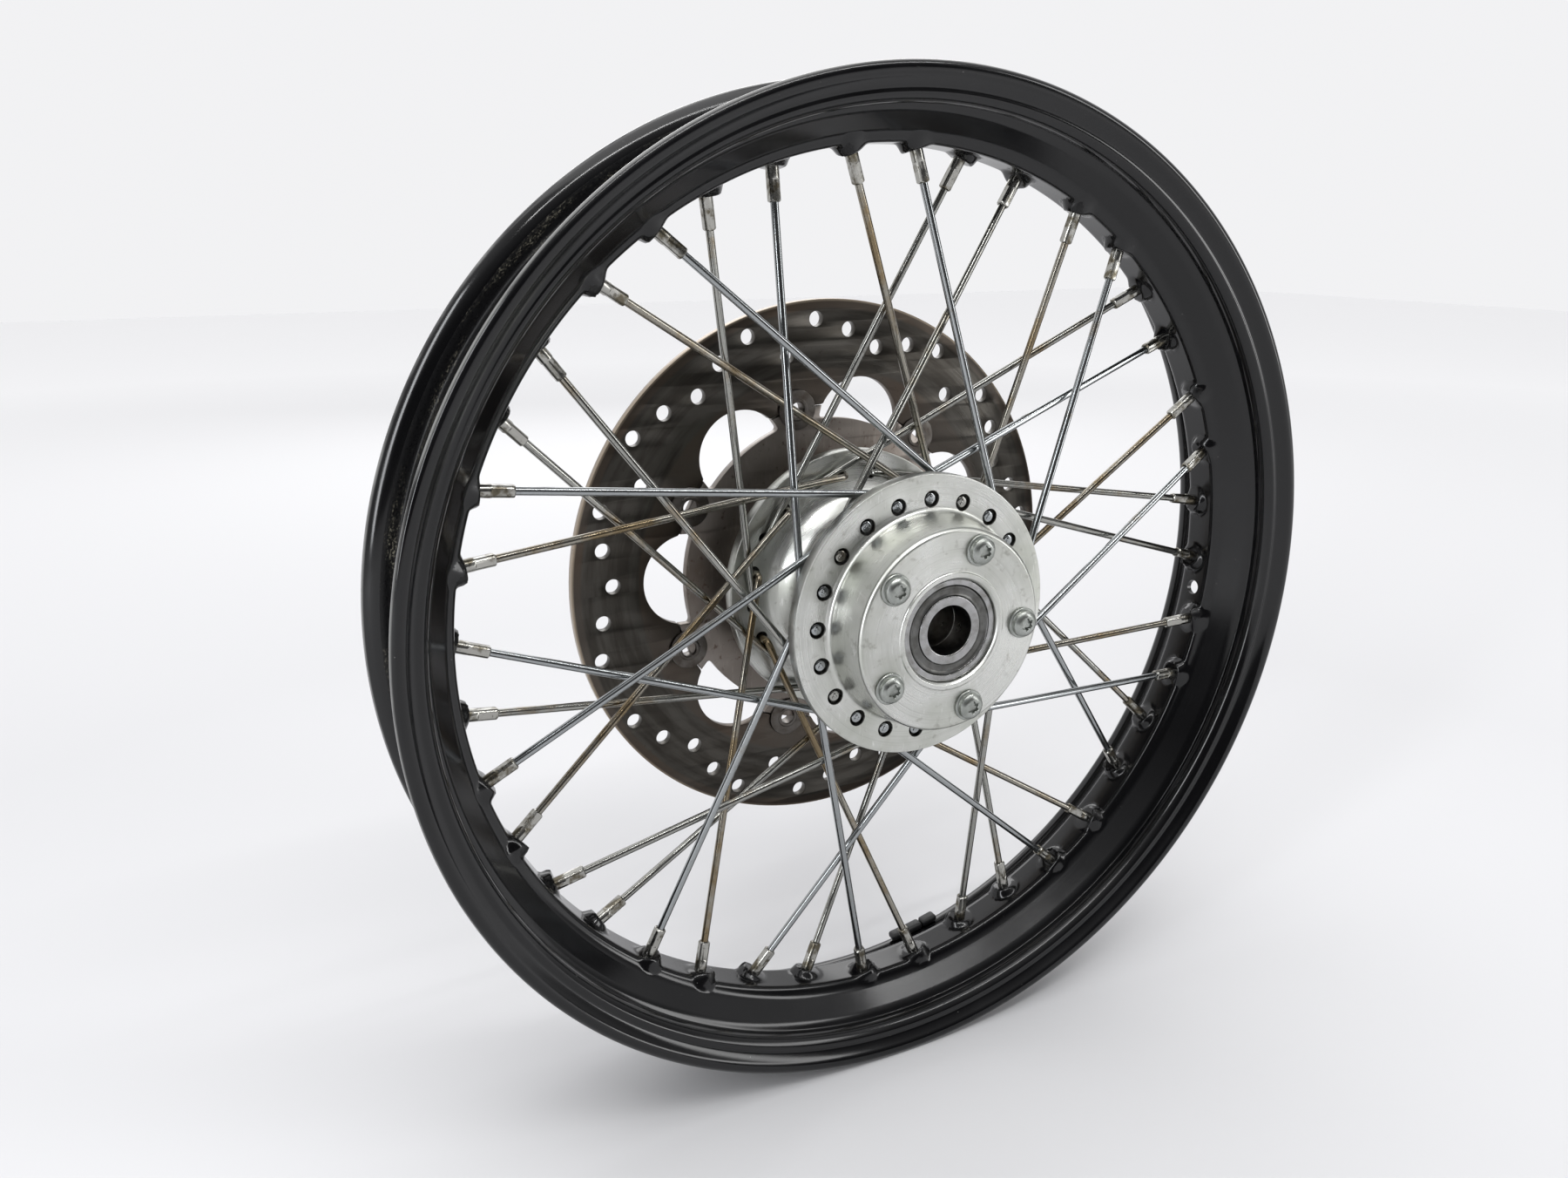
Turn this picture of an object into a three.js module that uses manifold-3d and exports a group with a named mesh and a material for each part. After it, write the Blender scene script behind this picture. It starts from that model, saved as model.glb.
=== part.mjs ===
// Laced motorcycle wheel with one floating brake disc, as it comes off the bike without its tyre.
//
// Millimetres. The origin is the wheel's centre, the axle line is Y, +Y is the brake side and +Z is up.
// Polar angles are in degrees in the XZ plane, from +X towards +Z.

import * as THREE from 'three';
import { mergeVertices } from 'three/addons/utils/BufferGeometryUtils.js';
import Module from 'manifold-3d';

const wasm = await Module();
wasm.setup();

// ---------------------------------------------------------------- driving dimensions

const GAP = 0.3; // kept between pieces that touch on the real wheel

const SPOKES = 40;
const NIPPLE_PHASE = 114.9; // polar angle of the first nipple
const NIPPLE_PITCH = 360 / SPOKES;
const LACING_ANGLE = 72; // from a nipple to its spoke's hole in the hub, a four-cross lacing

const RIM = {
  outerRadius: 255,
  halfWidth: 41.25,
  beadWall: 31.75, // half of the 2.50 inch width between the tyre's beads
  wellInnerRadius: 222.8,
  wellOuterRadius: 225.9,
  valveAngle: 353.4,
  valveRadius: 4.2,
};

const HUB = {
  flangeRadius: 72,
  flangeInner: 33.1,
  flangeOuter: 40.2,
  holeCircle: 59.8,
  bossRadius: 50.6,
  nearFace: 64.8,
  farFace: 64.2,
  lipRadius: 29.2,
  lipHeight: 0.8,
  cavityRadius: 23,
  waistRadius: 33,
};

const SPOKE = {
  radius: 1.95,
  headRadius: 3.4,
  headDepth: 0.7, // how far the head lies below the flange's face
  elbowRadius: 4,
  outerPlane: 30.6, // distance from the wheel's centre plane to the outer spokes' elbows
  innerPlane: 26.0,
  passRadius: 64.2, // where a spoke passes over its neighbour's elbow, one hole further on
};

const NIPPLE = {
  radius: 3.2,
  headRadius: 4.6,
  exitRadius: 220.1, // where the nipple leaves the rim's dimple
  visibleLength: 15.2,
  leadAngle: 0.47, // the dimples lean towards their spokes
  leadOffset: 3.8,
  sideOffset: 0.8,
  buriedLength: 7,
  headLength: 2.4,
};

const BEARING = {
  boreRadius: 12.5,
  outerRadius: 26,
  width: 15,
  outerFace: 63.2,
  ballCircle: 19.3,
  ballRadius: 3.9,
  balls: 9,
  innerRingRadius: 17.2,
  outerRingInnerRadius: 21.6,
};

const BOLT = {
  count: 5,
  circle: 41.28, // half of a 3.25 inch bolt circle
  phase: -2,
  flangeRadius: 7.8,
  flangeHeight: 1.4,
  headRadius: 6.6,
  headHeight: 4.9,
  crownRadius: 4.6,
  shankRadius: 3.9,
  shankLength: 14,
  socketRadius: 2.9,
  socketDepth: 2.4,
};

const DISC = {
  outerRadius: 148.2,
  lugRadius: 91.7, // the ring and its carrier meet on this circle
  slot: 0.6,
  nearFace: 64.5,
  thickness: 5,
  windows: 7,
  phase: -1.9, // polar angle of the first bobbin
  windowCentre: 83.3,
  windowRadius: 25.2,
  carrierRadius: 84.4,
  carrierBore: 29.6,
  holeRadius: 4,
  holeCircles: [121.3, 138, 132.5, 125.5, 132.5, 138], // one group of cooling holes, from a bobbin onwards
};

const BOBBIN = {
  pinRadius: 7.4,
  headRadius: 10.9,
  boreRadius: 4.2,
  headThickness: 1.3,
};

const SEGMENTS = { rim: SPOKES, hub: 30, disc: 56, bearing: 18 };

// ---------------------------------------------------------------- small helpers

const radians = (degrees) => (degrees * Math.PI) / 180;

/** A point at a polar angle and radius, at height y along the axle. */
function polar(radius, angle, y = 0) {
  return new THREE.Vector3(radius * Math.cos(radians(angle)), y, radius * Math.sin(radians(angle)));
}

function signedVolume(geometry) {
  const position = geometry.getAttribute('position');
  const index = geometry.getIndex();
  const [a, b, c] = [new THREE.Vector3(), new THREE.Vector3(), new THREE.Vector3()];
  let sum = 0;
  for (let i = 0; i < index.count; i += 3) {
    a.fromBufferAttribute(position, index.getX(i));
    b.fromBufferAttribute(position, index.getX(i + 1));
    c.fromBufferAttribute(position, index.getX(i + 2));
    sum += a.dot(b.cross(c)) / 6;
  }
  return sum;
}

/** Welds a geometry's corners, drops its flat triangles and turns its faces outwards. */
function closed(geometry) {
  geometry.deleteAttribute('normal');
  geometry.deleteAttribute('uv');
  const welded = mergeVertices(geometry, 1e-4);
  const old = welded.getIndex().array;
  const kept = [];
  for (let i = 0; i < old.length; i += 3) {
    const [a, b, c] = [old[i], old[i + 1], old[i + 2]];
    if (a !== b && b !== c && c !== a) kept.push(a, b, c);
  }
  welded.setIndex(kept);
  if (signedVolume(welded) < 0) {
    for (let i = 0; i < kept.length; i += 3) {
      [kept[i + 1], kept[i + 2]] = [kept[i + 2], kept[i + 1]];
    }
    welded.setIndex(kept);
  }
  return welded;
}

function toManifold(geometry) {
  const vertProperties = new Float32Array(geometry.getAttribute('position').array);
  const triVerts = new Uint32Array(geometry.getIndex().array);
  return new wasm.Manifold(new wasm.Mesh({ numProp: 3, vertProperties, triVerts }));
}

function fromManifold(manifold) {
  const mesh = manifold.getMesh();
  const geometry = new THREE.BufferGeometry();
  geometry.setAttribute('position', new THREE.BufferAttribute(mesh.vertProperties, 3));
  geometry.setIndex(new THREE.BufferAttribute(mesh.triVerts, 1));
  return geometry;
}

/** Joins some closed geometries to a base, then cuts others out of the result. */
function combine(base, added, removed) {
  let solid = toManifold(base);
  for (const piece of added) solid = solid.add(toManifold(piece));
  for (const cutter of removed) solid = solid.subtract(toManifold(cutter));
  return fromManifold(solid);
}

/** A solid of revolution about the axle, from a loop of [radius, y] pairs. One facet faces faceAngle. */
function turned(loop, segments, faceAngle = 90) {
  const points = [...loop, loop[0]].map(([radius, y]) => new THREE.Vector2(radius, y));
  const start = radians(90 - faceAngle + 180 / segments);
  return closed(new THREE.LatheGeometry(points, segments, start));
}

/** A flat plate from a THREE.Shape drawn in the XZ plane, from y to y + thickness. */
function plate(shape, y, thickness) {
  const geometry = new THREE.ExtrudeGeometry(shape, { depth: thickness, bevelEnabled: false });
  geometry.applyMatrix4(new THREE.Matrix4().set(1, 0, 0, 0, 0, 0, 1, y, 0, 1, 0, 0, 0, 0, 0, 1));
  return closed(geometry);
}

/** A solid swept through stations of a centre and a radius, with flat ends. */
function loft(stations, sides) {
  const centres = stations.map((station) => station.at);
  const last = centres.length - 1;
  const vertices = [];
  const triangles = [];
  const direction = (i) => {
    const before = centres[Math.max(i - 1, 0)];
    const after = centres[Math.min(i + 1, last)];
    return after.clone().sub(before).normalize();
  };
  const first = direction(0);
  const spare = Math.abs(first.y) > 0.9 ? new THREE.Vector3(1, 0, 0) : new THREE.Vector3(0, 1, 0);
  let across = spare.clone().cross(first).normalize();
  stations.forEach(({ at, radius }, i) => {
    const along = direction(i);
    across = across.sub(along.clone().multiplyScalar(across.dot(along))).normalize();
    const up = along.clone().cross(across);
    for (let k = 0; k < sides; k += 1) {
      const turn = (2 * Math.PI * k) / sides;
      const corner = at.clone();
      corner.addScaledVector(across, radius * Math.cos(turn));
      corner.addScaledVector(up, radius * Math.sin(turn));
      vertices.push(corner.x, corner.y, corner.z);
    }
  });
  for (let i = 0; i < last; i += 1) {
    for (let k = 0; k < sides; k += 1) {
      const next = (k + 1) % sides;
      const [a, b] = [i * sides + k, i * sides + next];
      triangles.push(a, b, b + sides, a, b + sides, a + sides);
    }
  }
  for (let k = 1; k < sides - 1; k += 1) {
    triangles.push(0, k + 1, k, last * sides, last * sides + k, last * sides + k + 1);
  }
  const geometry = new THREE.BufferGeometry();
  geometry.setAttribute('position', new THREE.Float32BufferAttribute(vertices, 3));
  geometry.setIndex(triangles);
  return closed(geometry);
}

/** A straight tapered rod between two points. */
function rod(from, to, radius, endRadius = radius, sides = 6) {
  return loft([{ at: from, radius }, { at: to, radius: endRadius }], sides);
}

/** Points on a circle in the XZ plane, as [x, z] pairs, from one polar angle to another. */
function arc(centre, radius, from, to, steps) {
  const points = [];
  for (let i = 0; i <= steps; i += 1) {
    const turn = radians(from + ((to - from) * i) / steps);
    points.push([centre[0] + radius * Math.cos(turn), centre[1] + radius * Math.sin(turn)]);
  }
  return points;
}

/** Turns [x, z] pairs about the axle. */
function rotated(points, angle) {
  const [cos, sin] = [Math.cos(radians(angle)), Math.sin(radians(angle))];
  return points.map(([x, z]) => [x * cos - z * sin, x * sin + z * cos]);
}

function pathOf(points, Kind) {
  return new Kind(points.map(([x, z]) => new THREE.Vector2(x, z)));
}

// ---------------------------------------------------------------- materials

function material(color, roughness, metalness) {
  return new THREE.MeshStandardMaterial({ color, roughness, metalness });
}

const FINISH = {
  blackRim: () => material(0x17181a, 0.38, 0.1),
  machinedAluminium: () => material(0xc9c9c4, 0.28, 1),
  spokeSteel: () => material(0x8f8b7f, 0.3, 1),
  discSteel: () => material(0x5e5852, 0.42, 1),
  carrierSteel: () => material(0x4c423a, 0.55, 0.9),
  boltZinc: () => material(0x9aa394, 0.35, 1),
  bearingSteel: () => material(0xa7a9ab, 0.2, 1),
  leadWeight: () => material(0x1d1e1f, 0.6, 0.2),
};

const wheel = new THREE.Group();

function addPiece(name, geometry, finish) {
  const mesh = new THREE.Mesh(geometry, finish());
  mesh.name = name;
  wheel.add(mesh);
}

// ---------------------------------------------------------------- lacing

/** Everything that tells one spoke from another. Spokes go in fours round the rim. */
function spokeLayout(index) {
  const side = index % 2 === 0 ? 1 : -1; // +1 ends in the brake-side flange
  const lean = index % 4 < 2 ? 1 : -1; // +1 meets the hub at a larger polar angle
  const nippleAngle = NIPPLE_PHASE - index * NIPPLE_PITCH;
  const holeAngle = nippleAngle + lean * LACING_ANGLE;
  const holePitch = (2 * 360) / SPOKES;
  const plane = side * (side * lean > 0 ? SPOKE.outerPlane : SPOKE.innerPlane);
  const exit = polar(
    NIPPLE.exitRadius,
    nippleAngle + lean * NIPPLE.leadAngle,
    lean * NIPPLE.leadOffset + side * NIPPLE.sideOffset,
  );
  const corner = polar(HUB.holeCircle, holeAngle, plane);
  const share = (2 * Math.PI * HUB.holeCircle * holePitch) / 360 / corner.distanceTo(exit);
  const passHeight = plane + (exit.y - plane) * share;
  const pass = polar(SPOKE.passRadius, holeAngle - lean * holePitch, passHeight);
  const outward = exit.clone().sub(pass).normalize();
  return { side, holeAngle, corner, pass, exit, outward };
}

/** A spoke with its nipple screwed on: head, elbow, shank, nipple and the nipple's head in the rim. */
function spokeGeometry({ side, holeAngle, corner, pass, exit, outward }) {
  const headTop = HUB.flangeOuter - SPOKE.headDepth;
  const stem = (y, radius) => ({ at: polar(HUB.holeCircle, holeAngle, side * y), radius });
  const leaving = pass.clone().sub(corner).normalize();
  const elbowStart = polar(HUB.holeCircle, holeAngle, corner.y + side * SPOKE.elbowRadius);
  const elbowEnd = corner.clone().addScaledVector(leaving, SPOKE.elbowRadius);
  const bend = new THREE.QuadraticBezierCurve3(elbowStart, corner, elbowEnd);
  const onAxis = (distance, radius) => ({ at: exit.clone().addScaledVector(outward, distance), radius });
  const shoulder = 0.2;
  return loft(
    [
      stem(headTop, SPOKE.headRadius - 0.6),
      stem(headTop - 1.4, SPOKE.headRadius),
      stem(headTop - 3.2, SPOKE.radius),
      { at: elbowStart, radius: SPOKE.radius },
      { at: bend.getPoint(0.5), radius: SPOKE.radius },
      { at: elbowEnd, radius: SPOKE.radius },
      { at: pass, radius: SPOKE.radius },
      onAxis(-NIPPLE.visibleLength - shoulder, SPOKE.radius),
      onAxis(-NIPPLE.visibleLength, NIPPLE.radius),
      onAxis(NIPPLE.buriedLength, NIPPLE.radius),
      onAxis(NIPPLE.buriedLength + shoulder, NIPPLE.headRadius),
      onAxis(NIPPLE.buriedLength + NIPPLE.headLength, NIPPLE.headRadius - 0.8),
    ],
    6,
  );
}

const spokes = Array.from({ length: SPOKES }, (_, index) => spokeLayout(index));

// ---------------------------------------------------------------- rim

/** Half of the rim's section, from the well out along the spoke side and back along the tyre side. */
function rimHalfSection() {
  const { outerRadius, halfWidth, beadWall, wellInnerRadius, wellOuterRadius } = RIM;
  return [
    [wellInnerRadius, 11],
    [wellInnerRadius + 13, 23],
    [wellInnerRadius + 15.8, 33],
    [outerRadius - 8.2, 35.8],
    [outerRadius - 3.8, halfWidth],
    [outerRadius, halfWidth - 3],
    [outerRadius - 5.5, beadWall],
    [outerRadius - 14.2, beadWall],
    [outerRadius - 15.2, beadWall - 11.4],
    [wellOuterRadius, 10.4],
  ];
}

function rimGeometry() {
  const half = rimHalfSection();
  const mirrored = half.map(([radius, y]) => [radius, -y]).reverse();
  const ring = turned([...half, ...mirrored], SEGMENTS.rim, NIPPLE_PHASE);
  const nippleHoles = spokes.map(({ exit, outward }) => {
    const inside = exit.clone().addScaledVector(outward, -4);
    const outside = exit.clone().addScaledVector(outward, NIPPLE.buriedLength + 4);
    return rod(inside, outside, NIPPLE.radius + 0.5);
  });
  const valveHole = rod(
    polar(RIM.wellInnerRadius - 6, RIM.valveAngle),
    polar(RIM.wellOuterRadius + 6, RIM.valveAngle),
    RIM.valveRadius,
    RIM.valveRadius,
    10,
  );
  return combine(ring, [], [...nippleHoles, valveHole]);
}

/** Stick-on balance weights: blocks on one strip, on the brake side's shoulder. */
function balanceWeightGeometry() {
  const blocks = 3;
  const blockAngle = 3.35;
  const firstAngle = 278.2;
  const [inner, outer] = [RIM.wellInnerRadius + 4.6, RIM.wellInnerRadius + 10.4];
  const block = (i) => {
    const centre = polar(inner, firstAngle + i * blockAngle, 33.2);
    const root = polar(outer + 1.6, firstAngle + i * blockAngle, 25.5);
    const geometry = new THREE.BoxGeometry(12.8, 9.5, 3.6);
    const middle = centre.clone().lerp(root, 0.5);
    const outwards = polar(1, firstAngle + i * blockAngle);
    const tilt = new THREE.Matrix4().makeRotationX(radians(48));
    const turn = new THREE.Matrix4().makeRotationY(Math.PI / 2 - Math.atan2(outwards.z, outwards.x));
    geometry.applyMatrix4(tilt).applyMatrix4(turn).translate(middle.x, middle.y, middle.z);
    return closed(geometry);
  };
  const all = Array.from({ length: blocks }, (_, i) => block(i));
  const strip = rod(
    polar(inner + 4.4, firstAngle - 1, 28.6),
    polar(inner + 4.4, firstAngle + (blocks - 1) * blockAngle + 1, 28.6),
    1.4,
  );
  return combine(strip, all, []);
}

// ---------------------------------------------------------------- hub

/** The closed section of the hub shell, from the near face to the brake side's. */
function hubSection() {
  const seat = BEARING.outerRadius + GAP;
  const seatDepth = BEARING.outerFace - BEARING.width - GAP;
  const outside = (side, face) => [
    [HUB.waistRadius, side * 13],
    [HUB.waistRadius + 17, side * (HUB.flangeInner - 3)],
    [HUB.waistRadius + 21, side * HUB.flangeInner],
    [HUB.flangeRadius, side * HUB.flangeInner],
    [HUB.flangeRadius, side * HUB.flangeOuter],
    [HUB.bossRadius + 4.4, side * HUB.flangeOuter],
    [HUB.bossRadius + 2.8, side * (HUB.flangeOuter + 1.6)],
    [HUB.bossRadius, side * (face - 1.2)],
    [HUB.bossRadius - 1.2, side * face],
    [HUB.lipRadius, side * face],
    [HUB.lipRadius, side * (face + HUB.lipHeight)],
    [seat, side * (face + HUB.lipHeight)],
    [seat, side * seatDepth],
    [HUB.cavityRadius, side * seatDepth],
  ];
  return [...outside(-1, HUB.nearFace).reverse(), ...outside(1, HUB.farFace)];
}

/** A stepped drill for one spoke: the shank's hole with a round recess for the head. */
function spokeDrill({ side, holeAngle }) {
  const at = (y) => polar(HUB.holeCircle, holeAngle, side * y);
  const seat = HUB.flangeOuter - SPOKE.headDepth - 3.4;
  return loft(
    [
      { at: at(HUB.flangeInner - 4), radius: SPOKE.radius + 0.85 },
      { at: at(seat), radius: SPOKE.radius + 0.85 },
      { at: at(seat + 0.9), radius: SPOKE.headRadius + 1 },
      { at: at(HUB.flangeOuter + 4), radius: SPOKE.headRadius + 1 },
    ],
    5,
  );
}

function boltAngles() {
  return Array.from({ length: BOLT.count }, (_, i) => BOLT.phase + (i * 360) / BOLT.count);
}

/** Blind holes for the disc bolts, from one face of the hub inwards. */
function boltDrills(side, face) {
  const depth = BOLT.shankLength + 3;
  return boltAngles().map((angle) =>
    rod(
      polar(BOLT.circle, angle, side * (face + 4)),
      polar(BOLT.circle, angle, side * (face - depth)),
      BOLT.shankRadius + 0.8,
    ),
  );
}

function hubGeometry() {
  const shell = turned(hubSection(), SEGMENTS.hub);
  const drills = [
    ...spokes.map(spokeDrill),
    ...boltDrills(-1, HUB.nearFace),
    ...boltDrills(1, HUB.farFace),
  ];
  return combine(shell, [], drills);
}

/** A button-head bolt whose head rests on a plane, with a round socket. */
function boltGeometry(side, angle, seat) {
  const at = (height) => polar(BOLT.circle, angle, side * (seat + height));
  const body = loft(
    [
      { at: at(-BOLT.shankLength), radius: BOLT.shankRadius },
      { at: at(0), radius: BOLT.shankRadius },
      { at: at(0.1), radius: BOLT.flangeRadius },
      { at: at(BOLT.flangeHeight), radius: BOLT.flangeRadius },
      { at: at(BOLT.flangeHeight + 0.2), radius: BOLT.headRadius },
      { at: at(BOLT.headHeight - 1.4), radius: BOLT.headRadius },
      { at: at(BOLT.headHeight), radius: BOLT.crownRadius },
    ],
    8,
  );
  const socket = rod(at(BOLT.headHeight - BOLT.socketDepth), at(BOLT.headHeight + 2), BOLT.socketRadius);
  return combine(body, [], [socket]);
}

// ---------------------------------------------------------------- bearings

/** The half-widths and grooves that the rings of one bearing share, as y positions. */
function bearingSpan(side) {
  const outer = side * BEARING.outerFace;
  const inner = side * (BEARING.outerFace - BEARING.width);
  return { outer, inner, middle: (outer + inner) / 2, grooveHalf: side * 3.6 };
}

function bearingOuterRing(side) {
  const { outer, inner, middle, grooveHalf } = bearingSpan(side);
  const track = BEARING.ballCircle + BEARING.ballRadius + 0.45;
  const loop = [
    [BEARING.outerRadius, inner],
    [BEARING.outerRadius, outer],
    [BEARING.outerRingInnerRadius, outer],
    [BEARING.outerRingInnerRadius, middle + grooveHalf],
    [track, middle + grooveHalf * 0.3],
    [track, middle - grooveHalf * 0.3],
    [BEARING.outerRingInnerRadius, middle - grooveHalf],
    [BEARING.outerRingInnerRadius, inner],
  ];
  return turned(loop, SEGMENTS.bearing);
}

function bearingInnerRing(side) {
  const { outer, inner, middle, grooveHalf } = bearingSpan(side);
  const track = BEARING.ballCircle - BEARING.ballRadius - 0.45;
  const loop = [
    [BEARING.boreRadius, outer],
    [BEARING.boreRadius, inner],
    [BEARING.innerRingRadius, inner],
    [BEARING.innerRingRadius, middle - grooveHalf],
    [track, middle - grooveHalf * 0.3],
    [track, middle + grooveHalf * 0.3],
    [BEARING.innerRingRadius, middle + grooveHalf],
    [BEARING.innerRingRadius, outer],
  ];
  return turned(loop, SEGMENTS.bearing);
}

/** The balls of one bearing in their cage, joined as one piece. */
function ballCage(side) {
  const { middle } = bearingSpan(side);
  const [inside, outside] = [BEARING.ballCircle - 1.1, BEARING.ballCircle + 1.1];
  const loop = [
    [inside, middle - 2.6],
    [outside, middle - 2.6],
    [outside, middle + 2.6],
    [inside, middle + 2.6],
  ];
  const ring = turned(loop, SEGMENTS.bearing - 2);
  const ballAngles = Array.from({ length: BEARING.balls }, (_, i) => (i * 360) / BEARING.balls);
  const balls = ballAngles.map((angle) => {
    const centre = polar(BEARING.ballCircle, angle, middle);
    const ball = new THREE.IcosahedronGeometry(BEARING.ballRadius, 0);
    return closed(ball.translate(centre.x, centre.y, centre.z));
  });
  return combine(ring, balls, []);
}

/** The pressed steel shield in the outer end of a bearing. */
function bearingShield(side) {
  const face = BEARING.outerFace - 0.4;
  const [inside, outside] = [BEARING.innerRingRadius + 0.45, BEARING.outerRingInnerRadius - 0.55];
  const loop = [
    [inside, side * face],
    [outside, side * face],
    [outside, side * (face - 1.2)],
    [inside, side * (face - 1.2)],
  ];
  return turned(loop, SEGMENTS.bearing);
}

/** The tube between the two inner rings, which keeps them apart when the axle is tightened. */
function spacerGeometry() {
  const end = BEARING.outerFace - BEARING.width - GAP;
  const [inside, outside] = [BEARING.boreRadius, BEARING.boreRadius + 3];
  const loop = [
    [inside, -end],
    [outside, -end],
    [outside, end],
    [inside, end],
  ];
  return turned(loop, SEGMENTS.bearing);
}

// ---------------------------------------------------------------- floating brake disc

const BOBBIN_PITCH = 360 / DISC.windows;
const bobbinAngles = Array.from({ length: DISC.windows }, (_, i) => DISC.phase + i * BOBBIN_PITCH);

/** Polar half-angle at which a window's round side crosses a circle about the axle. */
function windowHalfAngle(radius) {
  const { windowCentre, windowRadius } = DISC;
  const cosine = (radius ** 2 + windowCentre ** 2 - windowRadius ** 2) / (2 * radius * windowCentre);
  return (Math.acos(cosine) * 180) / Math.PI;
}

/** Angle on the window's own circle of the point where it crosses a circle about the axle. */
function windowTurn(radius) {
  const half = radians(windowHalfAngle(radius));
  return (Math.atan2(radius * Math.sin(half), radius * Math.cos(half) - DISC.windowCentre) * 180) / Math.PI;
}

/** One seventh of the line where the ring ends: a lug, its bobbin notch, a lug and a window. */
function ringInnerSegment() {
  const radius = DISC.lugRadius + DISC.slot / 2;
  const notch = BOBBIN.pinRadius + 0.5;
  const notchHalf = (2 * Math.asin(notch / 2 / radius) * 180) / Math.PI;
  const lugEnd = BOBBIN_PITCH / 2 - windowHalfAngle(radius);
  const turn = windowTurn(radius);
  const middle = rotated([[DISC.windowCentre, 0]], BOBBIN_PITCH / 2)[0];
  const start = BOBBIN_PITCH / 2 - turn;
  return [
    ...arc([radius, 0], notch, -90, 90, 6),
    ...arc([0, 0], radius, notchHalf + 0.8, lugEnd, 2),
    ...arc(middle, DISC.windowRadius, start, start + 2 * turn, 10).slice(1),
    ...arc([0, 0], radius, BOBBIN_PITCH - lugEnd, BOBBIN_PITCH - notchHalf - 0.8, 2).slice(1),
  ];
}

/** One seventh of the carrier's edge: an ear that reaches to the lug circle, then the window's floor. */
function carrierSegment() {
  const radius = DISC.lugRadius - DISC.slot / 2;
  const earEnd = BOBBIN_PITCH / 2 - windowHalfAngle(radius);
  const shoulder = 86.6;
  const shoulderEnd = BOBBIN_PITCH / 2 - windowHalfAngle(shoulder);
  const floorStart = shoulderEnd + 2.6;
  return [
    ...arc([0, 0], radius, -earEnd, earEnd, 5),
    ...rotated([[shoulder, 0]], shoulderEnd),
    ...arc([0, 0], DISC.carrierRadius, floorStart, BOBBIN_PITCH - floorStart, 4),
    ...rotated([[shoulder, 0]], BOBBIN_PITCH - shoulderEnd),
  ];
}

function discRingGeometry() {
  const outline = arc([0, 0], DISC.outerRadius, 0, 360, SEGMENTS.disc).slice(1);
  const inside = bobbinAngles.flatMap((angle) => rotated(ringInnerSegment(), angle));
  const shape = pathOf(outline, THREE.Shape);
  shape.holes.push(pathOf(inside, THREE.Path));
  const holePitch = BOBBIN_PITCH / DISC.holeCircles.length;
  for (const angle of bobbinAngles) {
    DISC.holeCircles.forEach((circle, i) => {
      const centre = rotated([[circle, 0]], angle + i * holePitch)[0];
      shape.holes.push(pathOf(arc(centre, DISC.holeRadius, 0, 300, 5), THREE.Path));
    });
  }
  return plate(shape, DISC.nearFace, DISC.thickness);
}

/** A hollow rivet that joins ring and carrier: it is fixed in the carrier, and the ring floats on it. */
function bobbinPieces(angle) {
  const [near, far] = [DISC.nearFace, DISC.nearFace + DISC.thickness];
  const at = (y) => polar(DISC.lugRadius, angle, y);
  const inside = BOBBIN.headThickness + GAP;
  return [
    rod(at(near - inside), at(far + inside), BOBBIN.pinRadius, BOBBIN.pinRadius, 8),
    rod(at(near - inside), at(near - GAP), BOBBIN.headRadius, BOBBIN.headRadius, 8),
    rod(at(far + GAP), at(far + inside), BOBBIN.headRadius, BOBBIN.headRadius, 8),
  ];
}

/** The carrier with its bobbins and the bolts that hold it to the hub, joined as one piece. */
function carrierGeometry() {
  const outline = bobbinAngles.flatMap((angle) => rotated(carrierSegment(), angle));
  const shape = pathOf(outline, THREE.Shape);
  shape.holes.push(pathOf(arc([0, 0], DISC.carrierBore + 0.4, 0, 345, 23), THREE.Path));
  const disc = plate(shape, DISC.nearFace, DISC.thickness);
  const far = DISC.nearFace + DISC.thickness;
  const bobbins = bobbinAngles.flatMap(bobbinPieces);
  const bolts = boltAngles().map((angle) => boltGeometry(1, angle, far - 0.05));
  const bores = bobbinAngles.map((angle) => {
    const at = (y) => polar(DISC.lugRadius, angle, y);
    return rod(at(DISC.nearFace - 5), at(far + 5), BOBBIN.boreRadius);
  });
  return combine(disc, [...bobbins, ...bolts], bores);
}

// ---------------------------------------------------------------- assembly

addPiece('rim', rimGeometry(), FINISH.blackRim);
addPiece('balance_weights', balanceWeightGeometry(), FINISH.leadWeight);
addPiece('hub_shell', hubGeometry(), FINISH.machinedAluminium);
for (const [label, side] of [['near', -1], ['brake_side', 1]]) {
  addPiece(`${label}_bearing_outer_ring`, bearingOuterRing(side), FINISH.bearingSteel);
  addPiece(`${label}_bearing_inner_ring`, bearingInnerRing(side), FINISH.bearingSteel);
  addPiece(`${label}_bearing_ball_cage`, ballCage(side), FINISH.bearingSteel);
  addPiece(`${label}_bearing_shield`, bearingShield(side), FINISH.bearingSteel);
}
addPiece('bearing_spacer_tube', spacerGeometry(), FINISH.bearingSteel);
addPiece('brake_disc_ring', discRingGeometry(), FINISH.discSteel);
addPiece('brake_disc_carrier', carrierGeometry(), FINISH.carrierSteel);
boltAngles().forEach((angle, i) => {
  addPiece(`near_face_bolt_${i + 1}`, boltGeometry(-1, angle, HUB.nearFace + GAP), FINISH.boltZinc);
});
spokes.forEach((layout, index) => {
  addPiece(`spoke_${String(index + 1).padStart(2, '0')}`, spokeGeometry(layout), FINISH.spokeSteel);
});

export default wheel;
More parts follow.
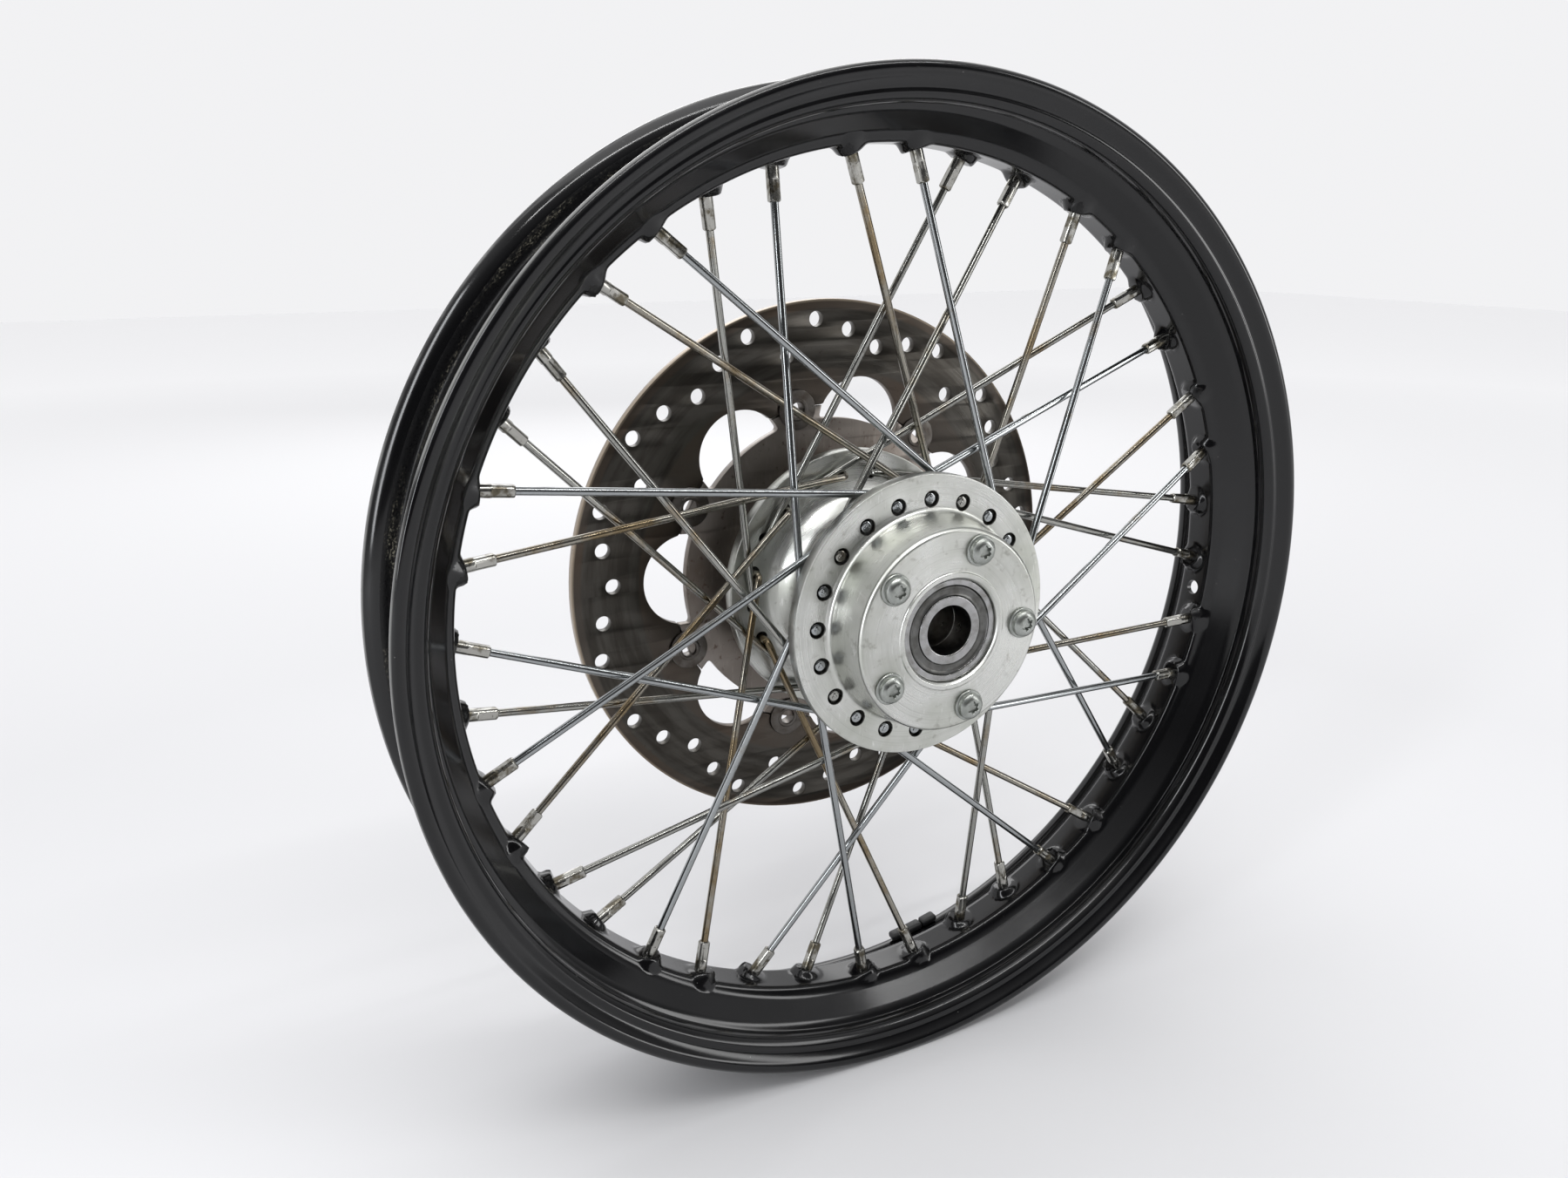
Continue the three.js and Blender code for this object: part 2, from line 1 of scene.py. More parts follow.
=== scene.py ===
"""Looks of the laced motorcycle wheel: every visible piece as a fine mesh with a procedural material.

Lengths in this file are millimetres until a mesh is made: MM turns them into Blender's metres. The
origin is the wheel's centre, the axle line is Y, +Y is the brake side and +Z is up. Polar angles are in
degrees in the XZ plane, from +X towards +Z, and radii are measured from the axle line. Lengths inside a
material, in the lighting and in the camera are metres.
"""

import math

import bmesh
import bpy
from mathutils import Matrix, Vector


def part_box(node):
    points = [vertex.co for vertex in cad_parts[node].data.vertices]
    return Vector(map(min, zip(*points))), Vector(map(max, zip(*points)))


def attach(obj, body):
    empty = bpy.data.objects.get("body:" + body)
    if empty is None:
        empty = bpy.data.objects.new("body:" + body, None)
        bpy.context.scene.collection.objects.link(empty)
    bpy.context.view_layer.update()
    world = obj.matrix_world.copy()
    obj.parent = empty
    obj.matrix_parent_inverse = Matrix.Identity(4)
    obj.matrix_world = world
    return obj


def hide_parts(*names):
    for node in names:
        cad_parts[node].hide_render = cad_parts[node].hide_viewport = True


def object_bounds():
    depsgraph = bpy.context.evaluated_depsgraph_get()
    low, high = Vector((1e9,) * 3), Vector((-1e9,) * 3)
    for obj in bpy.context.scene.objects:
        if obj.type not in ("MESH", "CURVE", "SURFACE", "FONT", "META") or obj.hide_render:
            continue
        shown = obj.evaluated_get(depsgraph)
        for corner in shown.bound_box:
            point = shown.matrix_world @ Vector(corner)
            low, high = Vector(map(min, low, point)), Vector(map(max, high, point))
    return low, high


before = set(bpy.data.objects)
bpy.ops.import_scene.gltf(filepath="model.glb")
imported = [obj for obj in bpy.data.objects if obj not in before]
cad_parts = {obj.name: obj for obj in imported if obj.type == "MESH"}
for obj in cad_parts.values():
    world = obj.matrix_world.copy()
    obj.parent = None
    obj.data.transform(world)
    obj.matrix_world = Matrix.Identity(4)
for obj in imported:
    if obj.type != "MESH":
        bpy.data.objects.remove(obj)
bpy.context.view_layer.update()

MM = 0.001
SHARP_ANGLE = 38

# ---- driving dimensions

SPOKES = 40
NIPPLE_PHASE = 114.9
NIPPLE_PITCH = 360 / SPOKES
LACING_ANGLE = 72

RIM_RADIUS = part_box("rim")[1].z / MM / math.cos(math.radians(NIPPLE_PITCH / 4.0))
RIM_HALF_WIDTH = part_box("rim")[1].y / MM
BEAD_WALL = 31.75
WELL_INNER = 222.8
WELL_OUTER = 225.9
VALVE_ANGLE = 353.4
VALVE_RADIUS = 4.2

DIMPLE_TOP = 5.2
DIMPLE_FOOT = 9.2
DIMPLE_HALF_WIDTH = 16
DIMPLE_DEPTH = 5.0
RIM_STEPS_PER_SPOKE = 26

WEIGHTS = 3
WEIGHT_START = 278.9
WEIGHT_PITCH = 2.65
WEIGHT_RADIUS = WELL_INNER + 12.0
WEIGHT_OFFSET = 30.5
WEIGHT_LENGTH = 10.5
WEIGHT_WIDTH = 7.0
WEIGHT_DEPTH = 4.4
WEIGHT_ROUNDING = 1.9
WEIGHT_STRIP = 1.3

FLANGE_RADIUS = 72.0
FLANGE_INNER = 33.1
FLANGE_OUTER = 40.2
HOLE_CIRCLE = 59.8
BOSS_RADIUS = 50.6
NEAR_FACE = 64.8
FAR_FACE = 64.2
LIP_RADIUS = 29.2
LIP_HEIGHT = 0.8
HUB_CAVITY = 23.0
WAIST_RADIUS = 36.0

SPOKE_RADIUS = 1.95
HEAD_RADIUS = 3.1
HEAD_DEPTH = 0.7
ELBOW_RADIUS = 4.0
OUTER_PLANE = 30.6
INNER_PLANE = 26.0
PASS_RADIUS = 64.2

NIPPLE_RADIUS = 3.2
NIPPLE_FLATS = 2.72
NIPPLE_EXIT = 220.1
NIPPLE_LENGTH = 15.2
NIPPLE_BURIED = 7.0
NIPPLE_LEAD_ANGLE = 0.47
NIPPLE_LEAD_OFFSET = 3.8
NIPPLE_SIDE_OFFSET = 0.8

BEARING_BORE = 12.5
BEARING_OUTER = 26.0
BEARING_WIDTH = 15.0
BEARING_FACE = 63.2
INNER_RING = 17.2
OUTER_RING = 21.6
BALL_CIRCLE = 19.3
BALL_RADIUS = 3.9
BALLS = 9

BOLTS = 5
BOLT_CIRCLE = 41.28
BOLT_PHASE = -2.0
BOLT_FLANGE = 7.8
BOLT_BODY = 6.6
BOLT_HEIGHT = 4.9
BOLT_HOLE = 4.2
BOLT_HOLE_DEPTH = 16
SOCKET_DEPTH = 1.5

DISC_LOW, DISC_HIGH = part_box("brake_disc_ring")
DISC_RADIUS = (DISC_HIGH[0] - DISC_LOW[0]) / MM / 2
DISC_NEAR = DISC_LOW.y / MM
DISC_FAR = DISC_HIGH.y / MM
LUG_RADIUS = 91.7
SLIT = 0.6
WINDOWS = 7
DISC_PHASE = -1.9
WINDOW_CENTRE = 83.3
WINDOW_RADIUS = 25.2
CARRIER_RADIUS = 84.4
CARRIER_SHOULDER = 86.9
CARRIER_BORE = 29.9
COOLING_HOLE = 4.1
COOLING_CIRCLES = (121.3, 138.0, 132.5, 125.5, 132.5, 138.0)
BOBBIN_PITCH = 360 / WINDOWS
BOBBIN_HEAD = 10.9
BOBBIN_PIN = 7.4
BOBBIN_BORE = 4.1
BOBBIN_PROUD = 1.6

CAMERA_LENS = 27.54
CAMERA_SENSOR = 36
CAMERA_AZIMUTH = -26.6
CAMERA_ELEVATION = 17.115
CAMERA_PLACE = (-0.3150, -0.5143, 0.1886)
FLOOR_REACH = 6.0
FLOOR_DROP = 0.0005
WALL_BRIGHTNESS = 0.9

# ---- points and profiles


def polar(radius, angle, y=0.0):
    """The point at a radius and a polar angle, and at y along the axle line."""
    turn = math.radians(angle)
    return Vector((radius * math.cos(turn), y, radius * math.sin(turn)))


def smooth_step(value):
    value = min(max(value, 0.0), 1.0)
    return value * value * (3.0 - 2.0 * value)


def rounded(corners, steps=4):
    """Rounds a closed profile. A corner is (radius, y, fillet), and a fillet of 0 keeps it sharp."""
    points = []
    count = len(corners)
    for i, (r, y, fillet) in enumerate(corners):
        here = Vector((r, y))
        if fillet <= 0:
            points.append(here)
            continue
        before = Vector(corners[i - 1][:2]) - here
        after = Vector(corners[(i + 1) % count][:2]) - here
        reach = min(fillet, before.length * 0.49, after.length * 0.49)
        start = here + before.normalized() * reach
        end = here + after.normalized() * reach
        for k in range(steps + 1):
            t = k / steps
            points.append(start.lerp(here, t).lerp(here.lerp(end, t), t))
    return [(point.x, point.y) for point in points]


def arc_points(centre, radius, start, end, steps):
    """Points [x, z] on a circle in the XZ plane, from one polar angle to another."""
    turns = [math.radians(start + (end - start) * i / steps) for i in range(steps + 1)]
    return [(centre[0] + radius * math.cos(t), centre[1] + radius * math.sin(t)) for t in turns]


def rotated(points, angle):
    """Points [x, z] turned about the axle line."""
    cos, sin = math.cos(math.radians(angle)), math.sin(math.radians(angle))
    return [(x * cos - z * sin, x * sin + z * cos) for x, z in points]


# ---- meshes


def add_object(name, mesh, sharp_angle=SHARP_ANGLE):
    mesh.shade_smooth()
    mesh.set_sharp_from_angle(angle=math.radians(sharp_angle))
    piece = bpy.data.objects.new(name, mesh)
    bpy.context.scene.collection.objects.link(piece)
    return piece


def mesh_of(name, shape):
    """Makes a mesh from a bmesh, which is used up."""
    mesh = bpy.data.meshes.new(name)
    shape.to_mesh(mesh)
    shape.free()
    return mesh


def mesh_from(name, vertices, faces):
    """A mesh from millimetre vertices, with its faces turned outwards."""
    mesh = bpy.data.meshes.new(name)
    mesh.from_pydata([Vector(v) * MM for v in vertices], [], faces)
    shape = bmesh.new()
    shape.from_mesh(mesh)
    bmesh.ops.recalc_face_normals(shape, faces=shape.faces)
    shape.to_mesh(mesh)
    shape.free()
    return mesh


def lathe_mesh(name, profile, segments, centre=Vector((0, 0, 0)), shift=None):
    """A solid of revolution about the Y line through centre.

    shift(angle, radius, y) says how far a vertex is moved inwards.
    """
    vertices = []
    for i in range(segments):
        angle = 360.0 * i / segments
        for radius, y in profile:
            inwards = shift(angle, radius, y) if shift else 0.0
            vertices.append(centre + polar(radius - inwards, angle, y))
    count = len(profile)
    faces = []
    for i in range(segments):
        here, there = i * count, ((i + 1) % segments) * count
        for k in range(count):
            after = (k + 1) % count
            faces.append((here + k, there + k, there + after, here + after))
    return mesh_from(name, vertices, faces)


def swept_mesh(name, stations, sides):
    """A closed sweep. Each station is (centre, radius at an angle in radians)."""
    centres = [station[0] for station in stations]
    last = len(centres) - 1
    vertices = []
    across = None
    along = Vector((0, 0, 0))
    for i, (centre, outline) in enumerate(stations):
        step = (centres[min(i + 1, last)] - centres[max(i - 1, 0)]).normalized()
        along = -step if step.dot(along) < 0 else step
        if across is None:
            spare = Vector((1, 0, 0)) if abs(along.y) > 0.9 else Vector((0, 1, 0))
            across = spare.cross(along).normalized()
        across = (across - along * across.dot(along)).normalized()
        up = along.cross(across)
        for k in range(sides):
            turn = 2 * math.pi * k / sides
            radius = outline(turn)
            vertices.append(centre + across * radius * math.cos(turn) + up * radius * math.sin(turn))
    faces = []
    for i in range(last):
        for k in range(sides):
            after = (k + 1) % sides
            a, b = i * sides, (i + 1) * sides
            faces.append((a + k, a + after, b + after, b + k))
    faces.append(tuple(reversed(range(sides))))
    faces.append(tuple(last * sides + k for k in range(sides)))
    return mesh_from(name, vertices, faces)


def circle_of(radius):
    """A station's outline with the same radius all the way round."""
    return lambda turn: radius


def joined(name, meshes):
    """One mesh from several, which are used up."""
    shape = bmesh.new()
    for mesh in meshes:
        shape.from_mesh(mesh)
        bpy.data.meshes.remove(mesh)
    return mesh_of(name, shape)


def cut(piece, cutter_mesh):
    """Cuts a mesh out of a piece and applies the result."""
    cutter = bpy.data.objects.new("cutter", cutter_mesh)
    bpy.context.scene.collection.objects.link(cutter)
    modifier = piece.modifiers.new("cut", "BOOLEAN")
    modifier.operation = "DIFFERENCE"
    modifier.solver = "EXACT"
    modifier.object = cutter
    apply_modifiers(piece)
    bpy.data.objects.remove(cutter)
    bpy.data.meshes.remove(cutter_mesh)
    piece.data.shade_smooth()
    piece.data.set_sharp_from_angle(angle=math.radians(SHARP_ANGLE))


def apply_modifiers(piece):
    """Gives a piece the mesh that its modifiers make of it."""
    evaluated = piece.evaluated_get(bpy.context.evaluated_depsgraph_get())
    result = bpy.data.meshes.new_from_object(evaluated)
    old = piece.data
    piece.modifiers.clear()
    piece.data = result
    bpy.data.meshes.remove(old)


def plate_object(name, outlines, near, far, edge=0.35):
    """A flat plate with chamfered edges, from closed outlines in the XZ plane, the outside first."""
    curve = bpy.data.curves.new(name, "CURVE")
    curve.dimensions = "2D"
    curve.fill_mode = "BOTH"
    curve.bevel_depth = edge * MM
    curve.bevel_resolution = 1
    curve.offset = -edge * MM
    curve.extrude = ((far - near) / 2 - edge) * MM
    for outline in outlines:
        spline = curve.splines.new("POLY")
        spline.points.add(len(outline) - 1)
        spline.use_cyclic_u = True
        for point, (x, z) in zip(spline.points, outline):
            point.co = (x * MM, z * MM, 0, 1)
    flat = bpy.data.objects.new(name + "_curve", curve)
    bpy.context.scene.collection.objects.link(flat)
    bpy.context.view_layer.update()
    mesh = bpy.data.meshes.new_from_object(flat.evaluated_get(bpy.context.evaluated_depsgraph_get()))
    bpy.data.objects.remove(flat)
    bpy.data.curves.remove(curve)
    middle = (near + far) / 2 * MM
    for vertex in mesh.vertices:
        x, z, height = vertex.co
        vertex.co = (x, middle - height, z)
    shape = bmesh.new()
    shape.from_mesh(mesh)
    bmesh.ops.remove_doubles(shape, verts=shape.verts, dist=0.01 * MM)
    bmesh.ops.recalc_face_normals(shape, faces=shape.faces)
    shape.to_mesh(mesh)
    shape.free()
    mesh.name = name
    return add_object(name, mesh, sharp_angle=30)


# ---- material building


class Surface:
    """A procedural metal, paint or paper: a thin wrapper round a node tree."""

    def __init__(self, name, color, roughness, metallic):
        self.material = bpy.data.materials.new(name)
        self.material.use_nodes = True
        self.tree = self.material.node_tree
        self.shader = self.tree.nodes["Principled BSDF"]
        self.shader.inputs["Base Color"].default_value = (*color, 1)
        self.shader.inputs["Roughness"].default_value = roughness
        self.shader.inputs["Metallic"].default_value = metallic
        self.place = self.node("ShaderNodeTexCoord").outputs["Object"]
        self.color = None
        self.normal = None

    def node(self, kind, **settings):
        made = self.tree.nodes.new(kind)
        for key, value in settings.items():
            setattr(made, key, value)
        return made

    def link(self, source, socket):
        if hasattr(source, "is_output"):
            self.tree.links.new(source, socket)
        else:
            socket.default_value = source

    def math(self, operation, first, second=0.0, clamp=False):
        made = self.node("ShaderNodeMath", operation=operation, use_clamp=clamp)
        self.link(first, made.inputs[0])
        self.link(second, made.inputs[1])
        return made.outputs[0]

    def ring_place(self, around, across):
        """Coordinates along the wheel's circles: around per radian, across per metre outwards."""
        split = self.node("ShaderNodeSeparateXYZ")
        self.link(self.place, split.inputs[0])
        angle = self.math("ARCTAN2", split.outputs["Z"], split.outputs["X"])
        join = self.node("ShaderNodeCombineXYZ")
        self.link(self.math("MULTIPLY", angle, around), join.inputs[0])
        self.link(self.math("MULTIPLY", self.radius(), across), join.inputs[1])
        self.link(self.math("MULTIPLY", split.outputs["Y"], across), join.inputs[2])
        return join.outputs[0]

    def radius(self):
        """Distance from the axle line, in metres."""
        flat = self.node("ShaderNodeVectorMath", operation="MULTIPLY")
        self.link(self.place, flat.inputs[0])
        flat.inputs[1].default_value = (1, 0, 1)
        length = self.node("ShaderNodeVectorMath", operation="LENGTH")
        self.link(flat.outputs[0], length.inputs[0])
        return length.outputs["Value"]

    def stretched(self, scale):
        scaled = self.node("ShaderNodeVectorMath", operation="MULTIPLY")
        self.link(self.place, scaled.inputs[0])
        scaled.inputs[1].default_value = scale
        return scaled.outputs[0]

    def noise(self, scale, detail=4.0, place=None, roughness=0.55):
        made = self.node("ShaderNodeTexNoise")
        self.link(place if place is not None else self.place, made.inputs["Vector"])
        made.inputs["Scale"].default_value = scale
        made.inputs["Detail"].default_value = detail
        made.inputs["Roughness"].default_value = roughness
        return made.outputs["Fac"]

    def cells(self, scale, place=None):
        made = self.node("ShaderNodeTexVoronoi")
        self.link(place if place is not None else self.place, made.inputs["Vector"])
        made.inputs["Scale"].default_value = scale
        return made.outputs["Distance"]

    def between(self, value, low, high, out_low=0.0, out_high=1.0):
        """Maps a value from low..high to out_low..out_high, clamped."""
        made = self.node("ShaderNodeMapRange")
        self.link(value, made.inputs["Value"])
        made.inputs["From Min"].default_value = low
        made.inputs["From Max"].default_value = high
        made.inputs["To Min"].default_value = out_low
        made.inputs["To Max"].default_value = out_high
        return made.outputs["Result"]

    def tint(self, amount, color):
        """Mixes a colour into the base colour by amount."""
        base = self.shader.inputs["Base Color"]
        before = self.color if self.color is not None else tuple(base.default_value)
        made = self.node("ShaderNodeMix", data_type="RGBA")
        self.link(amount, made.inputs["Factor"])
        self.link(before, made.inputs["A"])
        made.inputs["B"].default_value = (*color, 1)
        self.color = made.outputs["Result"]
        self.link(self.color, base)

    def rough(self, value):
        self.link(value, self.shader.inputs["Roughness"])

    def raise_by(self, height, depth, strength=1.0):
        """Adds a bump of a depth in metres."""
        made = self.node("ShaderNodeBump")
        made.inputs["Strength"].default_value = strength
        made.inputs["Distance"].default_value = depth
        self.link(height, made.inputs["Height"])
        if self.normal is not None:
            self.link(self.normal, made.inputs["Normal"])
        self.normal = made.outputs["Normal"]
        self.link(self.normal, self.shader.inputs["Normal"])


# ---- the wheel's materials


def rim_paint():
    """Satin black anodising with faint drawing lines, dust, small chips and a painted highlight along
    the lip's outer edge.
    """
    paint = Surface("rim_black", (0.0022, 0.0022, 0.0027), 0.15, 0.0)
    paint.shader.inputs["IOR"].default_value = 1.46
    lines = paint.noise(1.0, 3.0, paint.ring_place(5.0, 1500.0))
    smudges = paint.noise(14.0, 5.0)
    dust = paint.noise(420.0, 2.0)
    # Painted highlight: the outermost edge of the lip is lightened, standing in for the lights'
    # reflection on it.
    lip = paint.between(paint.radius(), 0.2543, 0.2549, 0.0, 0.55)
    paint.tint(paint.between(smudges, 0.5, 0.75, 0.0, 0.4), (0.009, 0.009, 0.01))
    paint.tint(paint.between(dust, 0.72, 0.8, 0.0, 0.2), (0.08, 0.08, 0.075))
    paint.tint(paint.between(paint.cells(95.0), 0.03, 0.015, 0.0, 0.5), (0.25, 0.25, 0.24))
    # Painted highlight colour on the lip's edge, in patches where the smudges allow.
    paint.tint(paint.math("MULTIPLY", lip, paint.between(smudges, 0.35, 0.5)), (0.3, 0.3, 0.29))
    satin = paint.between(smudges, 0.3, 0.75, 0.09, 0.2)
    paint.rough(paint.math("ADD", satin, paint.between(lines, 0.2, 0.8, -0.02, 0.03)))
    paint.raise_by(lines, 0.00001, 0.4)
    paint.raise_by(paint.noise(900.0, 2.0), 0.000004, 0.3)
    return paint.material


def rim_tyre_side():
    """The same black where the tyre has sat: flakes of tan rubber dust along the bead seats."""
    paint = Surface("rim_tyre_side", (0.0035, 0.0035, 0.004), 0.3, 0.0)
    paint.shader.inputs["IOR"].default_value = 1.38
    radius = paint.radius()
    flakes = paint.noise(1.0, 6.0, paint.ring_place(190.0, 1300.0), 0.75)
    patches = paint.noise(1.0, 4.0, paint.ring_place(6.0, 230.0), 0.6)
    outwards = paint.between(radius, 0.2385, 0.2415)
    inwards = paint.between(radius, 0.2505, 0.2475)
    seat = paint.math("MULTIPLY", outwards, inwards)
    flaked = paint.between(flakes, 0.53, 0.64)
    worn = paint.math("MULTIPLY", flaked, paint.between(patches, 0.48, 0.68))
    paint.tint(paint.between(patches, 0.45, 0.8, 0.0, 0.4), (0.014, 0.0135, 0.012))
    share = paint.between(seat, 0.0, 1.0, 0.15, 0.9)
    paint.tint(paint.math("MULTIPLY", worn, share), (0.32, 0.3, 0.235))
    paint.rough(paint.between(flakes, 0.3, 0.7, 0.2, 0.5))
    paint.raise_by(flakes, 0.00008, 0.5)
    return paint.material


def turned_alloy():
    """Machined hub alloy: fine turning circles, a light yellow film, fingerprints and scratches."""
    alloy = Surface("turned_alloy", (0.6, 0.605, 0.58), 0.3, 1.0)
    alloy.shader.inputs["Anisotropic"].default_value = 0.6
    tangent = alloy.node("ShaderNodeTangent", direction_type="RADIAL", axis="Y")
    alloy.link(tangent.outputs[0], alloy.shader.inputs["Tangent"])
    circles = alloy.noise(1.0, 2.0, alloy.ring_place(1.2, 2600.0))
    film = alloy.noise(24.0, 5.0)
    scratches = alloy.noise(1.0, 3.0, alloy.stretched((900.0, 30.0, 120.0)))
    alloy.tint(alloy.between(film, 0.42, 0.66, 0.0, 0.7), (0.4, 0.415, 0.36))
    alloy.tint(alloy.between(circles, 0.55, 0.72, 0.0, 0.3), (0.32, 0.325, 0.3))
    alloy.tint(alloy.between(scratches, 0.64, 0.72, 0.0, 0.4), (0.86, 0.86, 0.85))
    alloy.tint(alloy.between(alloy.noise(210.0, 4.0), 0.6, 0.72, 0.0, 0.4), (0.2, 0.19, 0.16))
    satin = alloy.between(film, 0.3, 0.7, 0.24, 0.4)
    alloy.rough(alloy.math("ADD", satin, alloy.between(circles, 0.3, 0.7, -0.05, 0.06)))
    alloy.raise_by(circles, 0.00002, 0.7)
    alloy.raise_by(film, 0.00008, 0.3)
    return alloy.material


def bore_shade_and_grime():
    """The bores of the hub: a dark base colour that is painted shade in the holes, with darker patches
    of grime.
    """
    # Painted shade: the bores get a much darker colour than the turned alloy round them.
    grime = Surface("bore_shade_and_grime", (0.16, 0.16, 0.15), 0.5, 1.0)
    grime.tint(grime.between(grime.noise(300.0, 4.0), 0.4, 0.65), (0.03, 0.027, 0.02))
    return grime.material


def spoke_wire(name, bare, tarnish):
    """Drawn wire, bright or browned by tarnish from 0 to 1, mottled along its length."""
    wire = Surface(name, bare, 0.18, 1.0)
    mottle = wire.noise(20.0, 6.0, roughness=0.7)
    specks = wire.noise(620.0, 3.0)
    brown = wire.between(mottle, 0.6 - 0.16 * tarnish, 0.72 - 0.16 * tarnish, 0.0, 0.9)
    wire.tint(brown, (0.2, 0.15, 0.085))
    wire.tint(wire.between(specks, 0.6, 0.7, 0.0, 0.2 + 0.5 * tarnish), (0.06, 0.047, 0.034))
    wire.rough(wire.between(mottle, 0.3, 0.75, 0.13, 0.2 + 0.14 * tarnish))
    wire.raise_by(specks, 0.00002, 0.25)
    return wire.material


def nipple_metal():
    """Plated nipples with patches of brown grime and small dark specks."""
    metal = Surface("nipple_metal", (0.36, 0.355, 0.33), 0.2, 1.0)
    grime = metal.noise(150.0, 5.0)
    metal.tint(metal.between(grime, 0.47, 0.6, 0.0, 0.9), (0.1, 0.085, 0.055))
    metal.tint(metal.between(metal.noise(600.0, 3.0), 0.6, 0.7, 0.0, 0.6), (0.04, 0.035, 0.028))
    metal.rough(metal.between(grime, 0.3, 0.7, 0.12, 0.36))
    metal.raise_by(grime, 0.00005, 0.3)
    return metal.material


def disc_steel():
    """Heat-tinted stainless: a swept friction band with circular wear lines, brown outside it."""
    steel = Surface("disc_steel", (0.085, 0.075, 0.065), 0.34, 1.0)
    radius = steel.radius()
    lines = steel.noise(1.0, 3.0, steel.ring_place(2.0, 2200.0))
    swirl = steel.noise(1.0, 4.0, steel.ring_place(3.0, 160.0))
    inside = steel.between(radius, 0.1105, 0.1125)
    outside = steel.between(radius, 0.1438, 0.1425)
    band = steel.math("MULTIPLY", inside, outside)
    blotches = steel.noise(14.0, 4.0)
    steel.tint(steel.between(blotches, 0.42, 0.68, 0.0, 0.7), (0.1, 0.07, 0.05))
    steel.tint(steel.math("MULTIPLY", band, 0.85), (0.082, 0.078, 0.07))
    swept = steel.math("MULTIPLY", band, steel.between(swirl, 0.4, 0.62, 0.0, 0.7))
    steel.tint(swept, (0.035, 0.031, 0.026))
    steel.tint(steel.between(radius, 0.1468, 0.1478, 0.0, 0.8), (0.42, 0.35, 0.27))
    steel.tint(steel.between(steel.noise(420.0, 3.0), 0.66, 0.74, 0.0, 0.4), (0.035, 0.027, 0.02))
    satin = steel.between(blotches, 0.3, 0.7, 0.28, 0.4)
    steel.rough(steel.math("ADD", satin, steel.between(lines, 0.3, 0.7, -0.05, 0.07)))
    steel.raise_by(steel.math("MULTIPLY", lines, band), 0.00005, 0.7)
    steel.raise_by(blotches, 0.00005, 0.2)
    return steel.material


def carrier_steel():
    """The carrier plate: brown film, brushed in short strokes, with specks of rust."""
    steel = Surface("carrier_steel", (0.26, 0.236, 0.215), 0.36, 1.0)
    strokes = steel.noise(1.0, 4.0, steel.stretched((600.0, 60.0, 120.0)))
    film = steel.noise(12.0, 4.0)
    steel.tint(steel.between(film, 0.42, 0.64, 0.0, 0.75), (0.11, 0.083, 0.063))
    steel.tint(steel.between(strokes, 0.55, 0.7, 0.0, 0.3), (0.34, 0.31, 0.28))
    steel.tint(steel.between(steel.noise(330.0, 4.0), 0.62, 0.72, 0.0, 0.6), (0.06, 0.03, 0.018))
    steel.rough(steel.between(film, 0.3, 0.7, 0.3, 0.48))
    steel.raise_by(strokes, 0.00003, 0.5)
    steel.raise_by(film, 0.00008, 0.2)
    return steel.material


def plain_metal(name, color, stain, roughness, grain):
    """A small turned or plated part: colour, stains, machining grain."""
    metal = Surface(name, color, roughness, 1.0)
    stains = metal.noise(160.0, 5.0)
    lines = metal.noise(1.0, 2.0, metal.ring_place(3.0, grain))
    metal.tint(metal.between(stains, 0.42, 0.7, 0.0, 0.75), stain)
    metal.rough(metal.between(stains, 0.3, 0.7, roughness * 0.75, roughness * 1.45))
    metal.raise_by(lines, 0.00002, 0.5)
    metal.raise_by(metal.noise(700.0, 3.0), 0.00002, 0.4)
    return metal.material


def weight_coating():
    """Matt black powder coating with a fine grain and paler scuffs."""
    coating = Surface("weight_coating", (0.012, 0.012, 0.0125), 0.42, 0.0)
    grain = coating.noise(900.0, 3.0)
    coating.tint(coating.between(coating.noise(60.0, 4.0), 0.5, 0.75, 0.0, 0.5), (0.04, 0.04, 0.038))
    coating.rough(coating.between(grain, 0.3, 0.7, 0.36, 0.6))
    coating.raise_by(grain, 0.00006, 0.5)
    return coating.material


def floor_paper():
    """Pale paper that grows whiter with distance, so that it meets the white room."""
    paper = Surface("floor_paper", (0.62, 0.62, 0.63), 0.7, 0.0)
    away = paper.node("ShaderNodeVectorMath", operation="LENGTH")
    paper.link(paper.place, away.inputs[0])
    paper.tint(paper.between(away.outputs["Value"], 0.8, 3.4), (0.98, 0.98, 0.985))
    paper.raise_by(paper.noise(300.0, 3.0), 0.0001, 0.1)
    return paper.material


# ---- placing pieces


def finish_piece(piece, body, materials, replaced=()):
    """Gives a piece its materials, its CAD body and the CAD nodes it stands for."""
    for material in materials:
        piece.data.materials.append(material)
    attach(piece, body)
    if replaced:
        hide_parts(*replaced)
    return piece


# ---- lacing


def spoke_layout(index):
    """Everything that tells one spoke from another. Spokes go in fours round the rim."""
    side = 1 if index % 2 == 0 else -1
    lean = 1 if index % 4 < 2 else -1
    nipple_angle = NIPPLE_PHASE - index * NIPPLE_PITCH
    hole_angle = nipple_angle + lean * LACING_ANGLE
    hole_pitch = 2 * NIPPLE_PITCH
    plane = side * (OUTER_PLANE if side * lean > 0 else INNER_PLANE)
    offset = lean * NIPPLE_LEAD_OFFSET + side * NIPPLE_SIDE_OFFSET
    leave = polar(NIPPLE_EXIT, nipple_angle + lean * NIPPLE_LEAD_ANGLE, offset)
    corner = polar(HOLE_CIRCLE, hole_angle, plane)
    share = math.radians(hole_pitch) * HOLE_CIRCLE / (corner - leave).length
    passing = polar(PASS_RADIUS, hole_angle - lean * hole_pitch, plane + (leave.y - plane) * share)
    return {
        "side": side,
        "hole_angle": hole_angle,
        "nipple_angle": nipple_angle,
        "corner": corner,
        "passing": passing,
        "exit": leave,
        "outward": (leave - passing).normalized(),
    }


